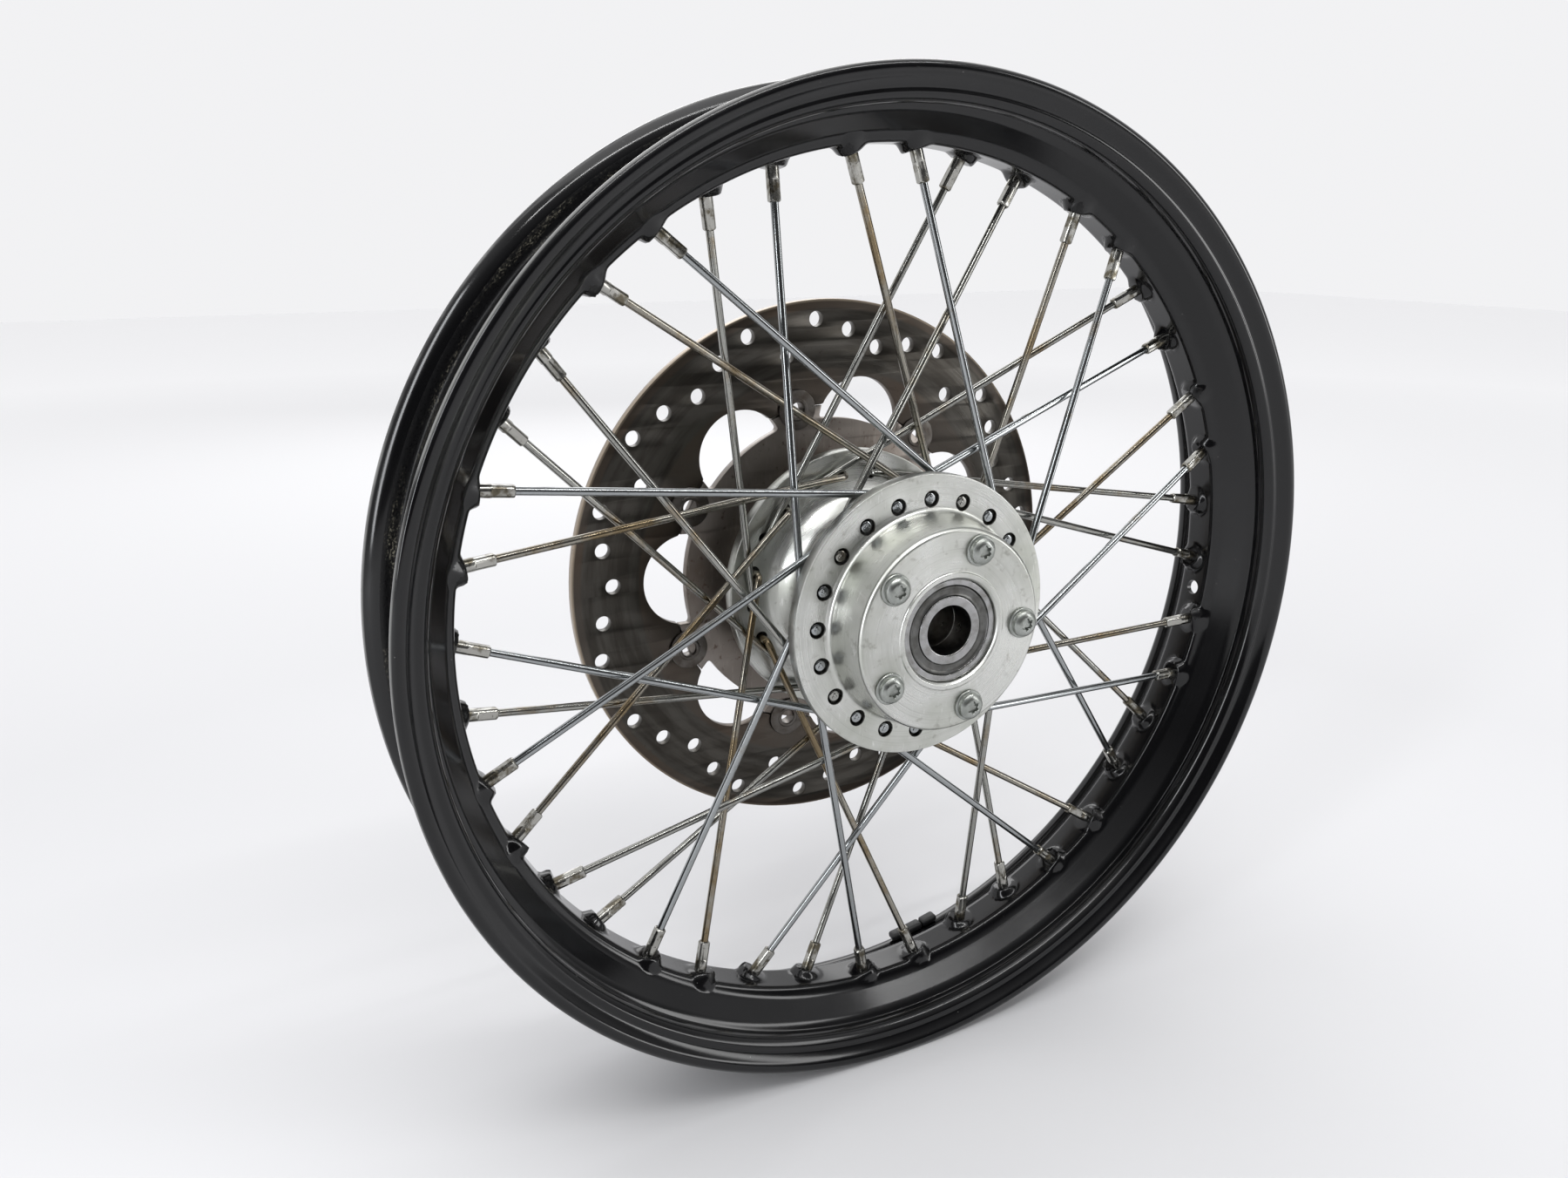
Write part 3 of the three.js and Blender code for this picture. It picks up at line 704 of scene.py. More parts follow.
def curve_round(before, corner, after, reach, steps):
    """Points of a smooth bend that leaves two straight lines reach before and after their corner."""
    start = corner + (before - corner).normalized() * reach
    end = corner + (after - corner).normalized() * reach
    shares = [i / steps for i in range(steps + 1)]
    return [start.lerp(corner, t).lerp(corner.lerp(end, t), t) for t in shares]


def wire_mesh(name, spoke):
    """A spoke: domed head with a small raised triangle, elbow, and a shank that ends in its nipple."""
    side = spoke["side"]
    top = FLANGE_OUTER - HEAD_DEPTH

    def stem(height, outline):
        return (polar(HOLE_CIRCLE, spoke["hole_angle"], side * height), outline)

    def triangle(turn):
        return 1.1 + 0.5 * math.cos(3 * turn)

    head = [
        stem(top + 0.5, lambda turn: triangle(turn) * 0.8),
        stem(top + 0.4, triangle),
        stem(top + 0.02, lambda turn: triangle(turn) + 0.15),
        stem(top, circle_of(HEAD_RADIUS - 0.95)),
        stem(top - 0.15, circle_of(HEAD_RADIUS - 0.45)),
        stem(top - 0.5, circle_of(HEAD_RADIUS - 0.08)),
        stem(top - 0.9, circle_of(HEAD_RADIUS)),
        stem(top - 1.5, circle_of(HEAD_RADIUS - 0.1)),
        stem(top - 2.7, circle_of(SPOKE_RADIUS + 0.15)),
        stem(top - 3.2, circle_of(SPOKE_RADIUS)),
    ]
    above = polar(HOLE_CIRCLE, spoke["hole_angle"], side * FLANGE_OUTER)
    inside = spoke["exit"] + spoke["outward"] * (NIPPLE_BURIED - 2)
    path = curve_round(above, spoke["corner"], spoke["passing"], ELBOW_RADIUS, 10)
    path += curve_round(spoke["corner"], spoke["passing"], spoke["exit"], 7.0, 6)
    path += [path[-1].lerp(inside, (i + 1) / 12) for i in range(12)]
    return swept_mesh(name, head + [(point, circle_of(SPOKE_RADIUS)) for point in path], 16)


def nipple_mesh(name, spoke):
    """A nipple: square end, round neck, and a domed head with a shallow round recess on the tyre side.
    """

    def flats(turn, round_radius=NIPPLE_RADIUS):
        quarter = (turn + math.pi / 4) % (math.pi / 2) - math.pi / 4
        return min(round_radius, NIPPLE_FLATS / math.cos(quarter))

    def at(distance, outline):
        return (spoke["exit"] + spoke["outward"] * distance, outline)

    head = NIPPLE_BURIED
    end = -NIPPLE_LENGTH
    stations = [
        at(end + 0.9, circle_of(SPOKE_RADIUS + 0.12)),
        at(end, circle_of(SPOKE_RADIUS + 0.12)),
        at(end, circle_of(NIPPLE_FLATS - 0.35)),
        at(end + 0.35, lambda turn: flats(turn, NIPPLE_RADIUS - 0.3)),
        at(end + 0.8, flats),
        at(end + 9.6, flats),
        at(end + 10.0, lambda turn: flats(turn) * 0.35 + NIPPLE_RADIUS * 0.65),
        at(end + 10.3, circle_of(NIPPLE_RADIUS)),
        at(0.6, circle_of(NIPPLE_RADIUS)),
        at(head - 0.6, circle_of(NIPPLE_RADIUS)),
        at(head + 0.2, circle_of(4.5)),
        at(head + 1.1, circle_of(4.6)),
        at(head + 1.9, circle_of(4.1)),
        at(head + 2.4, circle_of(2.9)),
        at(head + 2.5, circle_of(1.7)),
        at(head + 1.2, circle_of(1.6)),
    ]
    return swept_mesh(name, stations, 24)


def make_lacing():
    """All spokes and nipples, in bright, aged and browned wire by turns."""
    bright = spoke_wire("spoke_bright", (0.33, 0.345, 0.35), 0.0)
    aged = spoke_wire("spoke_aged", (0.31, 0.31, 0.29), 0.4)
    brown = spoke_wire("spoke_brown", (0.28, 0.265, 0.23), 0.9)
    wires = (aged, bright, brown, bright, aged, bright, brown, aged)
    plating = nipple_metal()
    for index, spoke in enumerate(spokes):
        node = f"spoke_{index + 1:02d}"
        number = f"{index + 1:02d}"
        wire = add_object(f"spoke_wire_{number}", wire_mesh(f"spoke_wire_{number}", spoke))
        finish_piece(wire, "wheel", [wires[(index * 3) % len(wires)]], [node])
        nipple = add_object(f"nipple_{number}", nipple_mesh(f"nipple_{number}", spoke), 28)
        finish_piece(nipple, "wheel", [plating])


# ---- rim


def rim_half():
    """Half of the rim's section as (radius, y, fillet), from the well's spoke side to its tyre side."""
    edge = RIM_RADIUS
    width = RIM_HALF_WIDTH
    return [
        (WELL_INNER, 9.6, 2.2),
        (WELL_INNER + 4.4, 11.6, 3.0),
        (WELL_INNER + 13.4, 23.6, 2.4),
        (WELL_INNER + 16.5, 25.6, 0.8),
        (WELL_INNER + 16.3, 27.0, 0.8),
        (WELL_INNER + 15.2, 29.0, 2.0),
        (WELL_INNER + 15.6, 33.4, 3.0),
        (WELL_INNER + 19.0, 36.6, 1.4),
        (WELL_INNER + 21.6, 36.2, 1.4),
        (WELL_INNER + 24.4, 38.2, 1.8),
        (WELL_INNER + 26.8, width - 0.5, 1.6),
        (edge - 2.0, width, 1.3),
        (edge + 0.3, width - 1.7, 1.3),
        (edge, width - 4.8, 1.8),
        (edge - 3.6, BEAD_WALL + 1.6, 3.0),
        (edge - 8.0, BEAD_WALL, 2.0),
        (edge - 14.2, BEAD_WALL, 2.0),
        (edge - 15.2, BEAD_WALL - 11.4, 2.6),
        (WELL_OUTER, 10.4, 3.0),
    ]


def rim_profile():
    """The whole closed section, with close-set points across the well, where the dimples rise."""
    half = rim_half()
    mirrored = [(r, -y, fillet) for r, y, fillet in reversed(half)]
    outline = rounded(half + mirrored)
    well = [point for point in outline if abs(point[0] - WELL_INNER) < 0.01]
    reach = max(y for _, y in well)
    steps = 22
    across = [(WELL_INNER, -reach + 2 * reach * i / steps) for i in range(1, steps)]
    return outline + across


def dimple_rise(angle, radius, y):
    """How far the rim's spoke side stands inwards here, in a round dimple square to each spoke."""
    if radius > WELL_INNER + DIMPLE_DEPTH or abs(y) > DIMPLE_HALF_WIDTH:
        return 0.0
    nearest = round((NIPPLE_PHASE - angle) / NIPPLE_PITCH) % SPOKES
    spoke = spokes[nearest]
    here = polar(radius, angle, y)
    inward = -polar(1.0, angle)
    outward = spoke["outward"]
    offset = here - spoke["exit"]
    distance = (offset - outward * offset.dot(outward)).length
    weight = smooth_step((DIMPLE_FOOT - distance) / (DIMPLE_FOOT - DIMPLE_TOP))
    flat_rise = offset.dot(outward) / -inward.dot(outward)
    return max(flat_rise, 0.0) * weight


def is_tyre_side(face):
    """True for a face of the rim between the beads that looks outwards or across at the other bead."""
    centre = face.center / MM
    if abs(centre.y) >= BEAD_WALL + 0.4:
        return False
    if Vector((centre.x, 0, centre.z)).normalized().dot(face.normal) > 0.2:
        return True
    looks_across = centre.y * face.normal.y < -0.001 and abs(face.normal.y) > 0.6
    return looks_across and Vector((centre.x, centre.z)).length > RIM_RADIUS - 15


def make_rim():
    mesh = lathe_mesh("rim_shell", rim_profile(), SPOKES * RIM_STEPS_PER_SPOKE, shift=dimple_rise)
    rim = add_object("rim_shell", mesh, 60)
    finish_piece(rim, "wheel", [rim_paint(), rim_tyre_side()], ["rim"])
    ends = [polar(radius, VALVE_ANGLE) for radius in (WELL_INNER - 8, WELL_OUTER + 8)]
    cut(rim, swept_mesh("valve_hole", [(end, circle_of(VALVE_RADIUS)) for end in ends], 32))
    for face in rim.data.polygons:
        face.material_index = 1 if is_tyre_side(face) else 0


def block_mesh(angle):
    """One stick-on weight: a block with its edges rounded well over."""
    outward = polar(1.0, angle)
    along = polar(1.0, angle + 90)
    centre = polar(WEIGHT_RADIUS, angle, WEIGHT_OFFSET)
    shape = bmesh.new()
    bmesh.ops.create_cube(shape, size=1.0)
    for vertex in shape.verts:
        x, y, z = vertex.co
        across = Vector((0, y * WEIGHT_WIDTH, 0))
        vertex.co = (centre + along * x * WEIGHT_LENGTH + across + outward * z * WEIGHT_DEPTH) * MM
    bmesh.ops.recalc_face_normals(shape, faces=shape.faces)
    offset = WEIGHT_ROUNDING * MM
    bmesh.ops.bevel(shape, geom=shape.edges, offset=offset, segments=5, affect="EDGES", profile=0.5)
    return mesh_of("block", shape)


def make_balance_weights():
    """Stick-on weights on the rim's brake-side ledge: rounded blocks along one backing strip."""
    angles = [WEIGHT_START + i * WEIGHT_PITCH for i in range(WEIGHTS)]
    blocks = [block_mesh(angle) for angle in angles]
    span = angles[-1] - angles[0] + 2
    places = [angles[0] - 1 + span * i / 12 for i in range(13)]
    strip = [polar(WEIGHT_RADIUS + WEIGHT_DEPTH / 2, place, WEIGHT_OFFSET) for place in places]
    blocks.append(swept_mesh("strip", [(point, circle_of(WEIGHT_STRIP)) for point in strip], 12))
    weights = add_object("balance_weight_blocks", joined("balance_weight_blocks", blocks))
    finish_piece(weights, "wheel", [weight_coating()], ["balance_weights"])


# ---- hub


def hub_profile():
    """The hub's closed section, from the near bearing's seat round the outside to the far one's."""
    seat = BEARING_OUTER + 0.1
    depth = BEARING_FACE - BEARING_WIDTH - 0.3

    def outside(side, face):
        return [
            (WAIST_RADIUS, side * 12, 9.0),
            (WAIST_RADIUS + 3, side * 22, 8.0),
            (WAIST_RADIUS + 12, side * (FLANGE_INNER - 2), 7.0),
            (WAIST_RADIUS + 18, side * FLANGE_INNER, 3.0),
            (FLANGE_RADIUS, side * FLANGE_INNER, 0.7),
            (FLANGE_RADIUS, side * FLANGE_OUTER, 0.6),
            (BOSS_RADIUS + 4.6, side * FLANGE_OUTER, 1.6),
            (BOSS_RADIUS + 2.9, side * (FLANGE_OUTER + 1.8), 1.6),
            (BOSS_RADIUS + 0.2, side * (face - 1.4), 1.0),
            (BOSS_RADIUS - 1.2, side * face, 0.7),
            (LIP_RADIUS + 0.5, side * face, 0.4),
            (LIP_RADIUS, side * (face + LIP_HEIGHT), 0.35),
            (seat + 1.0, side * (face + LIP_HEIGHT), 0.3),
            (seat, side * (face - 0.4), 0.3),
            (seat, side * depth, 0.0),
            (HUB_CAVITY, side * depth, 0.5),
        ]

    return rounded(list(reversed(outside(-1, NEAR_FACE))) + outside(1, FAR_FACE))


def drill(centre_at, steps):
    """A stepped round cutter: steps are (height, radius) along the axle from centre_at(height)."""
    return swept_mesh("drill", [(centre_at(height), circle_of(radius)) for height, radius in steps], 28)


def spoke_drill(spoke):
    """The hole of one spoke: countersunk on the inside, a round recess for the head outside."""
    side, angle = spoke["side"], spoke["hole_angle"]
    recess = HEAD_RADIUS + 1.0
    seat = FLANGE_OUTER - HEAD_DEPTH - 2.9
    steps = [
        (FLANGE_INNER - 3.0, SPOKE_RADIUS + 3.6),
        (FLANGE_INNER + 1.2, SPOKE_RADIUS + 0.6),
        (seat, SPOKE_RADIUS + 0.6),
        (seat + 1.1, recess),
        (FLANGE_OUTER - 0.25, recess),
        (FLANGE_OUTER + 1.0, recess + 1.0),
    ]
    return drill(lambda height: polar(HOLE_CIRCLE, angle, side * height), steps)


def bolt_angles():
    return [BOLT_PHASE + 360 / BOLTS * i for i in range(BOLTS)]


def bolt_drill(side, face, angle):
    """The hole of one screw, with a small chamfer at its mouth."""
    mouth = (face + 1.0, BOLT_HOLE + 1.5)
    steps = [(face - BOLT_HOLE_DEPTH, BOLT_HOLE), (face - 0.5, BOLT_HOLE), mouth]
    return drill(lambda height: polar(BOLT_CIRCLE, angle, side * height), steps)


def make_hub():
    """The turned shell, drilled for every spoke and for the screws of both faces."""
    hub = add_object("hub_shell_turned", lathe_mesh("hub_shell_turned", hub_profile(), 180))
    finish_piece(hub, "wheel", [turned_alloy(), bore_shade_and_grime()], ["hub_shell"])
    drills = [spoke_drill(spoke) for spoke in spokes]
    for side, face in ((-1, NEAR_FACE), (1, FAR_FACE)):
        drills += [bolt_drill(side, face, angle) for angle in bolt_angles()]
    cutter = joined("hub_drills", drills)
    # The bore faces take the second material, whose dark colour is painted shade.
    for face in cutter.polygons:
        face.material_index = 1
    cut(hub, cutter)


def star_socket(turn):
    """Outline of a six-lobed screw socket."""
    return 2.8 + 0.55 * math.cos(6 * turn)


def screw_mesh(name, angle, side, seat):
    """A button-head screw with a washer flange and a six-lobed socket."""

    def at(height, outline):
        return (polar(BOLT_CIRCLE, angle, side * (seat + height)), outline)

    crown = BOLT_HEIGHT
    stations = [
        at(-12.0, circle_of(3.4)),
        at(-11.4, circle_of(3.9)),
        at(0.0, circle_of(3.9)),
        at(0.02, circle_of(BOLT_FLANGE - 0.2)),
        at(0.25, circle_of(BOLT_FLANGE)),
        at(0.9, circle_of(BOLT_FLANGE)),
        at(1.2, circle_of(BOLT_FLANGE - 0.3)),
        at(1.35, circle_of(BOLT_BODY + 0.1)),
        at(1.6, circle_of(BOLT_BODY)),
        at(crown - 1.7, circle_of(BOLT_BODY - 0.15)),
        at(crown - 0.9, circle_of(BOLT_BODY - 0.9)),
        at(crown - 0.25, circle_of(BOLT_BODY - 1.9)),
        at(crown, circle_of(BOLT_BODY - 2.6)),
        at(crown, lambda turn: star_socket(turn) + 0.2),
        at(crown - 0.25, star_socket),
        at(crown - SOCKET_DEPTH, star_socket),
        at(crown - SOCKET_DEPTH - 0.1, lambda turn: star_socket(turn) - 0.6),
    ]
    return swept_mesh(name, stations, 48)


def make_near_screws():
    """The five screws in the near face. Their zinc serves the brake side's too."""
    zinc = plain_metal("screw_zinc", (0.36, 0.375, 0.355), (0.2, 0.212, 0.19), 0.3, 1600.0)
    for i, angle in enumerate(bolt_angles()):
        name = f"star_screw_{i + 1}"
        screw = add_object(name, screw_mesh(name, angle, -1, NEAR_FACE + 0.05), 30)
        finish_piece(screw, "wheel", [zinc], [f"near_face_bolt_{i + 1}"])
    return zinc


# ---- bearings


def ring_piece(name, corners, body, material, replaced, segments=120):
    piece = add_object(name, lathe_mesh(name, rounded(corners), segments), 30)
    return finish_piece(piece, body, [material], replaced)


def make_bearing(label, side, steel, shield_steel):
    """One wheel bearing: both rings with their tracks, a shield, and the balls in their cage."""
    outer = BEARING_FACE
    inner = BEARING_FACE - BEARING_WIDTH
    middle = (outer + inner) / 2
    track_in = BALL_CIRCLE - BALL_RADIUS - 0.1
    track_out = BALL_CIRCLE + BALL_RADIUS + 0.1

    def facing(corners):
        return [(radius, side * y, fillet) for radius, y, fillet in corners]

    outer_ring = facing([
        (BEARING_OUTER, inner, 0.6),
        (BEARING_OUTER, outer, 0.8),
        (OUTER_RING + 1.3, outer, 0.2),
        (OUTER_RING + 1.0, outer - 0.8, 0.2),
        (OUTER_RING, outer - 1.6, 0.2),
        (OUTER_RING, middle + 3.2, 0.2),
        (track_out, middle, 4.0),
        (OUTER_RING, middle - 3.2, 0.2),
        (OUTER_RING, inner, 0.3),
    ])
    outer_node = f"{label}_bearing_outer_ring"
    ring_piece(f"{label}_outer_race", outer_ring, "wheel", steel, [outer_node])
    inner_ring = facing([
        (BEARING_BORE, outer, 0.7),
        (BEARING_BORE, inner, 0.7),
        (INNER_RING, inner, 0.3),
        (INNER_RING, middle - 3.2, 0.2),
        (track_in, middle, 4.0),
        (INNER_RING, middle + 3.2, 0.2),
        (INNER_RING, outer, 0.5),
    ])
    inner_node = f"{label}_bearing_inner_ring"
    ring_piece(f"{label}_inner_race", inner_ring, "core", steel, [inner_node])
    face = outer - 0.4
    shield = facing([
        (INNER_RING + 0.15, face - 0.5, 0.1),
        (INNER_RING + 0.5, face, 0.2),
        (INNER_RING + 1.1, face - 0.3, 0.2),
        (INNER_RING + 1.7, face - 0.45, 0.3),
        (OUTER_RING - 0.9, face - 0.45, 0.3),
        (OUTER_RING - 0.3, face - 0.05, 0.3),
        (OUTER_RING + 0.5, face - 0.1, 0.3),
        (OUTER_RING + 0.6, face - 0.7, 0.1),
        (OUTER_RING - 0.3, face - 1.2, 0.1),
        (INNER_RING + 0.4, face - 1.2, 0.1),
    ])
    shield_node = f"{label}_bearing_shield"
    ring_piece(f"{label}_pressed_shield", shield, "wheel", shield_steel, [shield_node])
    make_ball_cage(label, side * middle, steel)


def make_ball_cage(label, y, steel):
    """Nine balls held by a pressed ribbon cage."""
    meshes = []
    for i in range(BALLS):
        shape = bmesh.new()
        bmesh.ops.create_uvsphere(shape, u_segments=20, v_segments=14, radius=BALL_RADIUS * MM)
        place = polar(BALL_CIRCLE, 360 / BALLS * i, y) * MM
        bmesh.ops.translate(shape, verts=shape.verts, vec=place)
        meshes.append(mesh_of("ball", shape))

    def ribbon(side):
        stations = []
        for k in range(180):
            wave = abs(math.sin(math.radians(k * BALLS + 90)))
            point = polar(BALL_CIRCLE, k * 2, y + side * (0.6 + 3.6 * wave))
            stations.append((point, circle_of(0.45)))
        return stations

    for side in (-1, 1):
        loop = ribbon(side)
        meshes.append(swept_mesh("ribbon", loop + [loop[0]], 8))
    cage = add_object(f"{label}_balls_in_cage", joined(f"{label}_balls_in_cage", meshes), 60)
    finish_piece(cage, f"{label}_cage", [steel], [f"{label}_bearing_ball_cage"])


def make_spacer(steel):
    end = BEARING_FACE - BEARING_WIDTH - 0.1
    corners = [
        (BEARING_BORE + 0.2, -end, 0.4),
        (BEARING_BORE + 3.0, -end, 0.5),
        (BEARING_BORE + 3.0, end, 0.5),
        (BEARING_BORE + 0.2, end, 0.4),
    ]
    ring_piece("spacer_tube_drawn", corners, "core", steel, ["bearing_spacer_tube"], 96)


# ---- brake disc


def window_half_angle(radius):
    """Polar half-angle at which a window's round side crosses a circle about the axle."""
    cosine = (radius**2 + WINDOW_CENTRE**2 - WINDOW_RADIUS**2) / (2 * radius * WINDOW_CENTRE)
    return math.degrees(math.acos(cosine))


def window_turn(radius):
    """Angle on the window's own circle of the point where it crosses a circle about the axle."""
    half = math.radians(window_half_angle(radius))
    return math.degrees(math.atan2(radius * math.sin(half), radius * math.cos(half) - WINDOW_CENTRE))


def ring_inside(angle):
    """One seventh of the ring's inner edge: a bobbin notch, a lug, a window and the next lug."""
    radius = LUG_RADIUS + SLIT / 2
    notch = BOBBIN_PIN + 0.3
    notch_half = math.degrees(2 * math.asin(notch / 2 / radius))
    lug_end = BOBBIN_PITCH / 2 - window_half_angle(radius)
    turn = window_turn(radius)
    middle = rotated([(WINDOW_CENTRE, 0)], BOBBIN_PITCH / 2)[0]
    start = BOBBIN_PITCH / 2 - turn
    points = arc_points((radius, 0), notch, -90, 90, 14)
    lug = (notch_half + 0.5, lug_end - 0.6)
    points += arc_points((0, 0), radius, lug[0], lug[1], 5)
    points += arc_points(middle, WINDOW_RADIUS, start + 1.2, start + 2 * turn - 1.2, 36)
    points += arc_points((0, 0), radius, BOBBIN_PITCH - lug[1], BOBBIN_PITCH - lug[0], 5)
    return rotated(points, angle)


def carrier_edge(angle):
    """One seventh of the carrier's edge: an ear that reaches the lugs, a hook, the window's floor."""
    radius = LUG_RADIUS - SLIT / 2
    ear_end = BOBBIN_PITCH / 2 - window_half_angle(radius)
    shoulder_angle = BOBBIN_PITCH / 2 - window_half_angle(CARRIER_SHOULDER)
    shoulder = Vector(rotated([(CARRIER_SHOULDER, 0)], shoulder_angle)[0])
    corner_angle = BOBBIN_PITCH / 2 - window_half_angle(CARRIER_RADIUS)
    corner = Vector(rotated([(CARRIER_RADIUS, 0)], corner_angle)[0])
    floor_start = corner_angle + 3.0
    landing = Vector(rotated([(CARRIER_RADIUS, 0)], floor_start)[0])
    shares = [i / 8 for i in range(9)]
    hook = [shoulder.lerp(corner, t).lerp(corner.lerp(landing, t), t) for t in shares]

    def mirrored(point):
        turn = math.radians(BOBBIN_PITCH) - math.atan2(point[1], point[0])
        length = math.hypot(point[0], point[1])
        return (length * math.cos(turn), length * math.sin(turn))

    left = [(point.x, point.y) for point in hook]
    points = arc_points((0, 0), radius, -ear_end + 0.3, ear_end - 0.3, 16)
    points += left
    points += arc_points((0, 0), CARRIER_RADIUS, floor_start, BOBBIN_PITCH - floor_start, 12)[1:-1]
    points += [mirrored(point) for point in reversed(left)]
    return rotated(points, angle)


def bobbin_angles():
    return [DISC_PHASE + BOBBIN_PITCH * i for i in range(WINDOWS)]


def make_disc_ring():
    """The friction ring, with its cooling holes in seven repeats of one pattern."""
    outlines = [arc_points((0, 0), DISC_RADIUS, 0, 358.5, 239)]
    outlines.append([point for angle in bobbin_angles() for point in ring_inside(angle)])
    pitch = BOBBIN_PITCH / len(COOLING_CIRCLES)
    for angle in bobbin_angles():
        for i, circle in enumerate(COOLING_CIRCLES):
            centre = rotated([(circle, 0)], angle + i * pitch)[0]
            outlines.append(arc_points(centre, COOLING_HOLE, 0, 348.75, 31))
    ring = plate_object("drilled_disc", outlines, DISC_NEAR, DISC_FAR)
    finish_piece(ring, "disc", [disc_steel()], ["brake_disc_ring"])


def bobbin_mesh(name, angle):
    """A hollow two-part bobbin: flanged both sides, with a rolled lip round its bore."""
    centre = polar(LUG_RADIUS, angle)
    near = DISC_NEAR - BOBBIN_PROUD
    far = DISC_FAR + BOBBIN_PROUD
    corners = [
        (BOBBIN_BORE, near, 0.4),
        (BOBBIN_BORE, far, 0.4),
        (BOBBIN_BORE + 1.7, far, 0.5),
        (BOBBIN_BORE + 2.0, far - 0.5, 0.3),
        (BOBBIN_HEAD, far - 0.5, 0.4),
        (BOBBIN_HEAD, DISC_FAR + 0.3, 0.2),
        (BOBBIN_PIN, DISC_FAR + 0.3, 0.0),
        (BOBBIN_PIN, DISC_NEAR - 0.3, 0.0),
        (BOBBIN_HEAD, DISC_NEAR - 0.3, 0.2),
        (BOBBIN_HEAD, near + 0.5, 0.4),
        (BOBBIN_BORE + 2.0, near + 0.5, 0.3),
        (BOBBIN_BORE + 1.7, near, 0.5),
    ]
    return lathe_mesh(name, rounded(corners), 64, centre=centre)


def make_carrier(zinc):
    """The carrier plate with its bobbins and the screws that hold it to the hub."""
    outlines = [[point for angle in bobbin_angles() for point in carrier_edge(angle)]]
    outlines.append(arc_points((0, 0), CARRIER_BORE, 0, 357, 119))
    steel = carrier_steel()
    carrier = plate_object("carrier_plate", outlines, DISC_NEAR, DISC_FAR)
    finish_piece(carrier, "wheel", [steel], ["brake_disc_carrier"])
    grey = plain_metal("bobbin_steel", (0.13, 0.12, 0.11), (0.06, 0.045, 0.034), 0.34, 1500.0)
    for i, angle in enumerate(bobbin_angles()):
        name = f"disc_bobbin_{i + 1}"
        finish_piece(add_object(name, bobbin_mesh(name, angle), 30), "wheel", [grey])
    for i, angle in enumerate(bolt_angles()):
        name = f"carrier_screw_{i + 1}"
        screw = add_object(name, screw_mesh(name, angle, 1, DISC_FAR + 0.02), 30)
        finish_piece(screw, "wheel", [zinc])


# ---- stage, light, camera


def make_stage():
    """A flat paper floor just under the wheel."""
    mesh = bpy.data.meshes.new("floor")
    reach = FLOOR_REACH
    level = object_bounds()[0][2] - FLOOR_DROP
    signs = ((-1, -1), (1, -1), (1, 1), (-1, 1))
    corners = [(x * reach, y * reach, level) for x, y in signs]
    mesh.from_pydata(corners, [], [(0, 1, 2, 3)])
    floor = bpy.data.objects.new("floor", mesh)
    bpy.context.scene.collection.objects.link(floor)
    floor.data.materials.append(floor_paper())


def area_light(name, place, width, height, power, color=(1, 1, 1)):
    """A rectangular light that points at the wheel's centre."""
    data = bpy.data.lights.new(name, "AREA")
    data.shape = "RECTANGLE"
    data.size = width
    data.size_y = height
    data.energy = power
    data.color = color
    light = bpy.data.objects.new(name, data)
    light.location = place
    light.rotation_euler = (-Vector(place)).to_track_quat("-Z", "Y").to_euler()
    bpy.context.scene.collection.objects.link(light)


def make_lights():
    """Soft light from above, and narrow strips whose reflections draw the rim's edges."""
    area_light("top_softbox", (-0.3, -0.2, 2.0), 2.0, 1.4, 12)
    area_light("top_strip", (0.1, -1.1, 1.9), 2.4, 0.07, 15)
    area_light("left_strip", (-2.0, -0.9, 0.8), 0.26, 1.8, 18, (0.95, 0.97, 1.0))
    area_light("right_strip", (1.7, -1.4, 0.6), 0.4, 1.6, 12)
    area_light("back_strip", (0.6, 1.9, 0.9), 1.4, 0.8, 8)


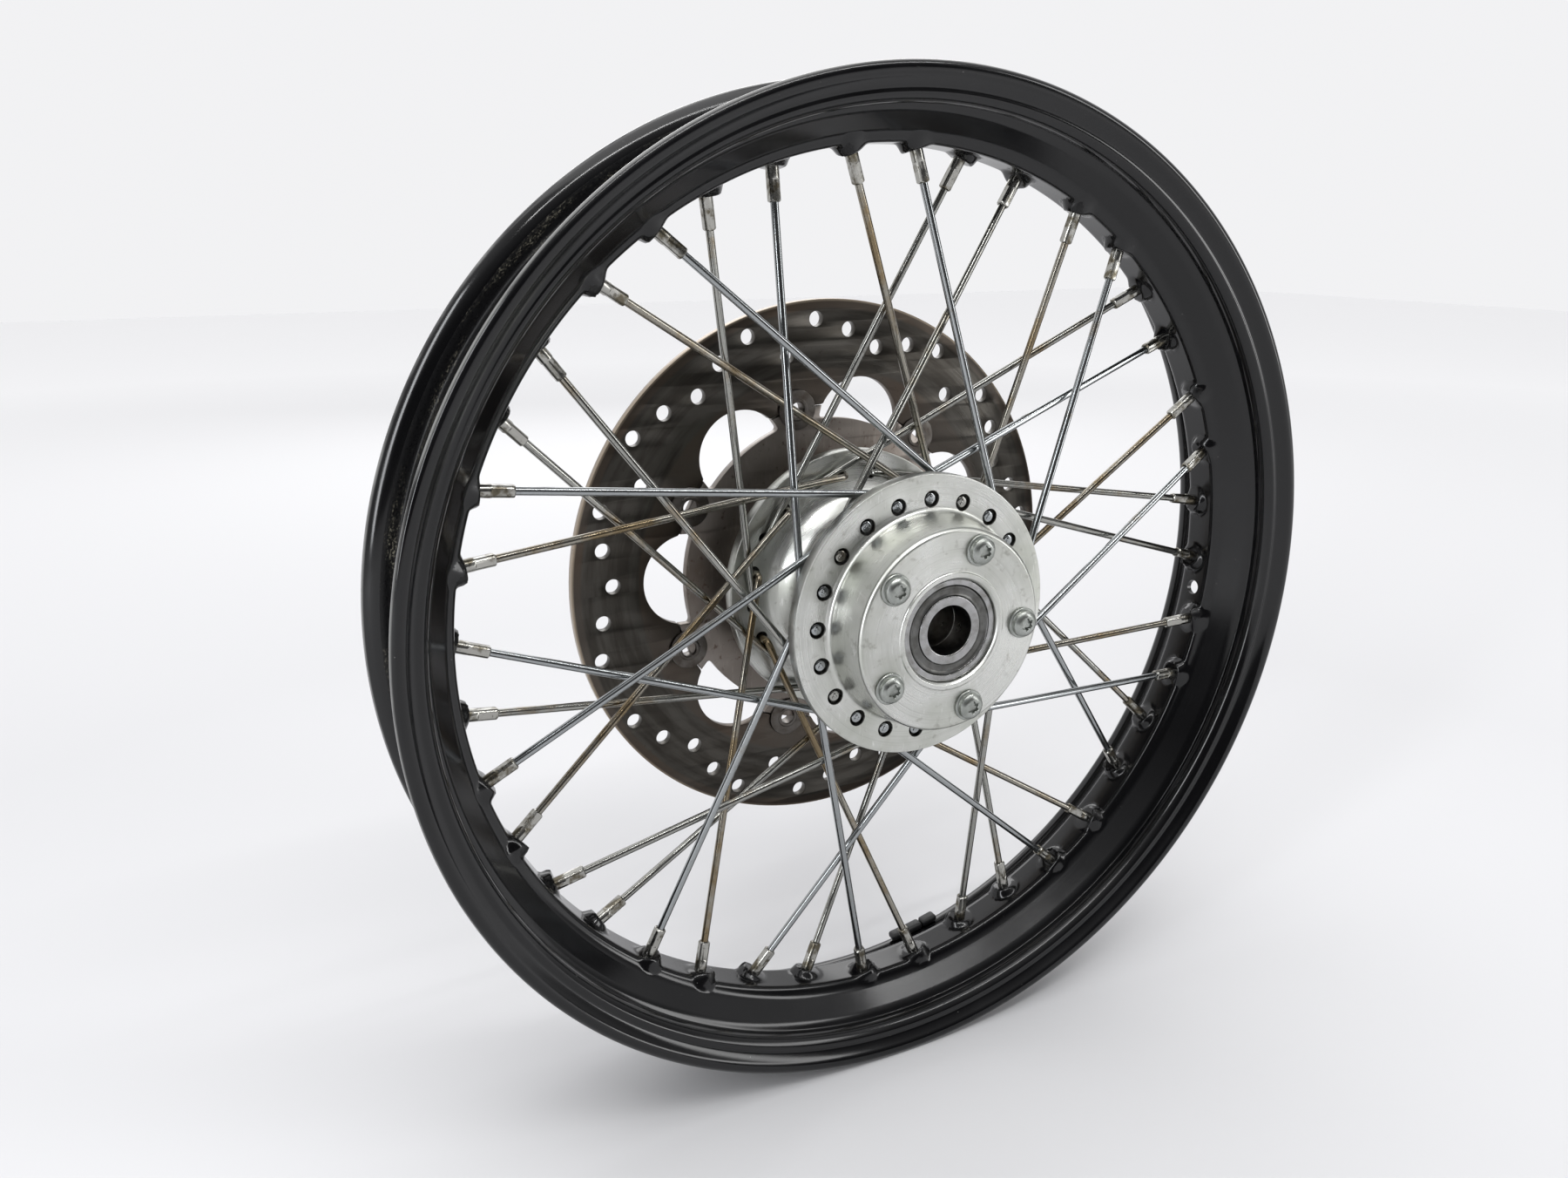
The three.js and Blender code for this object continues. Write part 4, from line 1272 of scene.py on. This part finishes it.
def make_world():
    """A white room, dim behind the viewer in what the wheel reflects and white wherever it is seen."""
    world = bpy.data.worlds.new("studio")
    bpy.context.scene.world = world
    world.use_nodes = True
    tree = world.node_tree
    coordinates = tree.nodes.new("ShaderNodeTexCoord")
    split = tree.nodes.new("ShaderNodeSeparateXYZ")
    tree.links.new(coordinates.outputs["Generated"], split.inputs[0])

    def ramp(output, low, high, out_low, out_high):
        made = tree.nodes.new("ShaderNodeMapRange")
        made.inputs["From Min"].default_value = low
        made.inputs["From Max"].default_value = high
        made.inputs["To Min"].default_value = out_low
        made.inputs["To Max"].default_value = out_high
        tree.links.new(split.outputs[output], made.inputs["Value"])
        return made.outputs["Result"]

    def combine(operation, first, second):
        made = tree.nodes.new("ShaderNodeMath")
        made.operation = operation
        tree.links.new(first, made.inputs[0])
        tree.links.new(second, made.inputs[1])
        return made.outputs[0]

    beyond = ramp("Y", -0.65, 0.25, 0.07, WALL_BRIGHTNESS)
    overhead = ramp("Z", 0.35, 0.95, 0.0, 0.5)
    value = tree.nodes.new("ShaderNodeValue").outputs[0]
    value.default_value = WALL_BRIGHTNESS
    seen = tree.nodes.new("ShaderNodeLightPath").outputs["Is Camera Ray"]
    total = combine("ADD", beyond, overhead)
    brightest = combine("MAXIMUM", total, combine("MULTIPLY", seen, value))
    background = tree.nodes["Background"]
    background.inputs["Color"].default_value = (0.985, 0.985, 1.0, 1)
    tree.links.new(brightest, background.inputs["Strength"])


def make_camera():
    """The viewpoint: left of the wheel and a little above it, on the near side."""
    data = bpy.data.cameras.new("camera")
    data.sensor_width = CAMERA_SENSOR
    data.lens = CAMERA_LENS
    data.clip_start = 0.01
    camera = bpy.data.objects.new("camera", data)
    azimuth, elevation = math.radians(CAMERA_AZIMUTH), math.radians(CAMERA_ELEVATION)
    level = math.cos(elevation)
    forward = Vector((-math.sin(azimuth) * level, math.cos(azimuth) * level, -math.sin(elevation)))
    camera.location = CAMERA_PLACE
    camera.rotation_euler = forward.to_track_quat("-Z", "Y").to_euler()
    bpy.context.scene.collection.objects.link(camera)
    bpy.context.scene.camera = camera


# ---- build

make_camera()
spokes = [spoke_layout(index) for index in range(SPOKES)]
make_rim()
make_balance_weights()
make_hub()
screw_zinc = make_near_screws()
bearing_steel = plain_metal("bearing_steel", (0.36, 0.36, 0.36), (0.16, 0.155, 0.14), 0.2, 2400.0)
shield_steel = plain_metal("shield_steel", (0.14, 0.14, 0.135), (0.06, 0.057, 0.05), 0.36, 900.0)
make_bearing("near", -1, bearing_steel, shield_steel)
make_bearing("brake_side", 1, bearing_steel, shield_steel)
make_spacer(plain_metal("spacer_steel", (0.36, 0.35, 0.33), (0.16, 0.14, 0.11), 0.34, 900.0))
make_disc_ring()
make_carrier(screw_zinc)
make_lacing()
make_stage()
make_lights()
make_world()
bpy.context.scene.view_settings.view_transform = "Standard"
